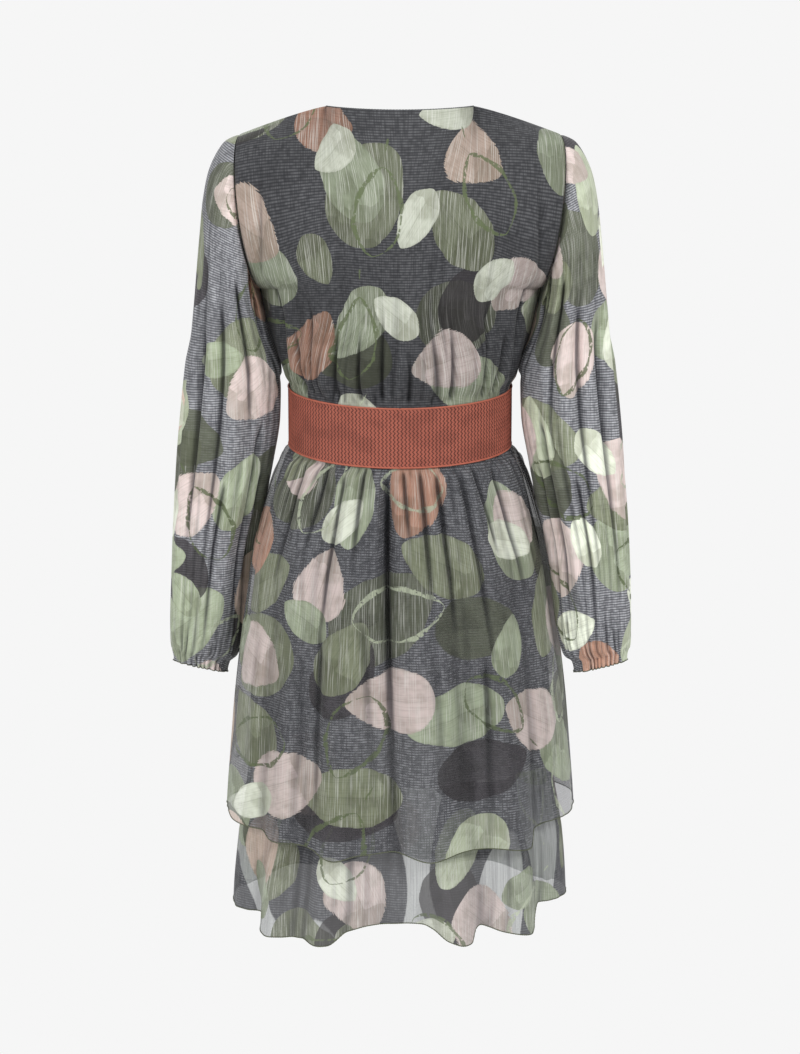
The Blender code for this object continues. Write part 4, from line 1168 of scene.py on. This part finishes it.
# each piece as it was cut: width and length, how it is held, flat area, what it hangs from, what goes with it
cuts = {
    "backBodice": (0.43, 0.40, "gathered", 0.150, (), ("backNeckEdge",)),
    "leftFrontBodice": (0.33, 0.37, "gathered", 0.068, ("backBodice",), ("leftWrapEdge",)),
    "rightFrontBodice": (0.33, 0.37, "gathered", 0.068, ("backBodice",), ("rightWrapEdge",)),
    "leftSleeve": (0.46, 0.62, "hung", 0.200, ("backBodice",), ()),
    "rightSleeve": (0.46, 0.62, "hung", 0.200, ("backBodice",), ()),
    "leftCuff": (0.25, 0.0135, "gathered", None, ("leftSleeve",), ("leftCuffEdge",)),
    "rightCuff": (0.25, 0.0135, "gathered", None, ("rightSleeve",), ("rightCuffEdge",)),
    "elasticBelt": (0.70, 0.066, "stretched", None, ("backBodice",), ("beltTopBinding", "beltFootBinding")),
    "backSkirt": (0.58, 0.48, "gathered", 0.245, ("elasticBelt",), ("backSkirtHem",)),
    "leftFrontSkirt": (0.42, 0.48, "gathered", 0.125, ("elasticBelt",), ("leftFrontSkirtHem",)),
    "rightFrontSkirt": (0.42, 0.48, "gathered", 0.125, ("elasticBelt",), ("rightFrontSkirtHem",)),
    "backUnderskirt": (0.50, 0.40, "gathered", 0.186, ("elasticBelt",), ()),
    "frontUnderskirt": (0.50, 0.40, "gathered", 0.180, ("elasticBelt",), ()),
    "backFlounce": (0.66, 0.18, "gathered", None, ("backUnderskirt",), ("backFlounceHem",)),
    "frontFlounce": (0.66, 0.18, "gathered", None, ("frontUnderskirt",), ("frontFlounceHem",)),
}
for name, (width, length, held, area, hangsFrom, edges) in cuts.items():
    [made[edge] for edge in edges]
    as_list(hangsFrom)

# floor, light and camera

stand = {
    "floorZ": -1.42,
    "floorSize": 30,
    "distance": 2.6,
    "elevation": 11,
    "target": -0.46839,
    "focal": 2298.9,           # in pixels of an image 1054 high
    "imageHeight": 1054,
    "filmHeight": 36,
    "backdrop": 0.9216,
    "ambient": 0.44,
    "floorTone": 0.80,
    "lightsAimAt": (0, 0, -0.45),
    "softKey": ((-1.7, 2.3, 1.5), 1.2, 66),     # place, size and power
    "softFill": ((2.1, 2.0, 0.7), 1.8, 44),
    "softBack": ((0.4, -2.4, 1.2), 1.8, 30),
}
white = (1, 1, 1, 1)


def seenByCamera(tree):
    return Wire(tree).make("ShaderNodeLightPath", {}, {}, "Is Camera Ray")


def aim(holder, place, target):
    holder.location = place
    holder.rotation_euler = (Vector(target) - Vector(place)).to_track_quat("-Z", "Y").to_euler()


def buildFloor():
    grid = bmesh.new()
    bmesh.ops.create_grid(grid, x_segments=1, y_segments=1, size=stand["floorSize"])
    bmesh.ops.translate(grid, verts=grid.verts, vec=(0, 0, stand["floorZ"]))
    mesh = bpy.data.meshes.new("floor")
    grid.to_mesh(mesh)
    grid.free()
    paint = bpy.data.materials.new("paleFloor")
    paint.use_nodes = True
    tree = paint.node_tree
    shader = tree.nodes["Principled BSDF"]
    feed(shader, {"Base Color": tinted(white, stand["floorTone"]), "Roughness": 0.95, "Specular IOR Level": 0})
    # the floor sends back soft light, and looks as plain and pale as the air behind the dress
    glow = Wire(tree).make("ShaderNodeEmission", {}, {"Color": white, "Strength": stand["backdrop"]})
    both = {0: seenByCamera(tree), 1: Wire(tree, shader.outputs[0]), 2: glow}
    feed(tree.nodes["Material Output"], {"Surface": glow.make("ShaderNodeMixShader", {}, both)})
    mesh.materials.append(paint)
    addObject("floor", mesh)


def buildLight():
    world = bpy.data.worlds.new("studio")
    bpy.context.scene.world = world
    world.use_nodes = True
    tree = world.node_tree
    level = stand["ambient"] + seenByCamera(tree) * (stand["backdrop"] - stand["ambient"])
    feed(tree.nodes["Background"], {"Color": white, "Strength": level})
    for name in ("softKey", "softFill", "softBack"):
        place, size, power = stand[name]
        lamp = bpy.data.lights.new(name, "AREA")
        lamp.shape = "DISK"
        lamp.size = size
        lamp.energy = power
        aim(addObject(name, lamp), place, stand["lightsAimAt"])


def placeCamera():
    lift = math.radians(stand["elevation"])
    target = Vector((0, 0, stand["target"]))
    lens = bpy.data.cameras.new("camera")
    lens.sensor_fit = "VERTICAL"
    lens.sensor_height = stand["filmHeight"]
    lens.lens = stand["focal"] / stand["imageHeight"] * stand["filmHeight"]
    camera = addObject("camera", lens)
    aim(camera, target + stand["distance"] * Vector((0, math.cos(lift), math.sin(lift))), target)
    bpy.context.scene.camera = camera


buildFloor()
buildLight()
placeCamera()
bpy.context.scene.view_settings.view_transform = "Standard"
print("stage set")
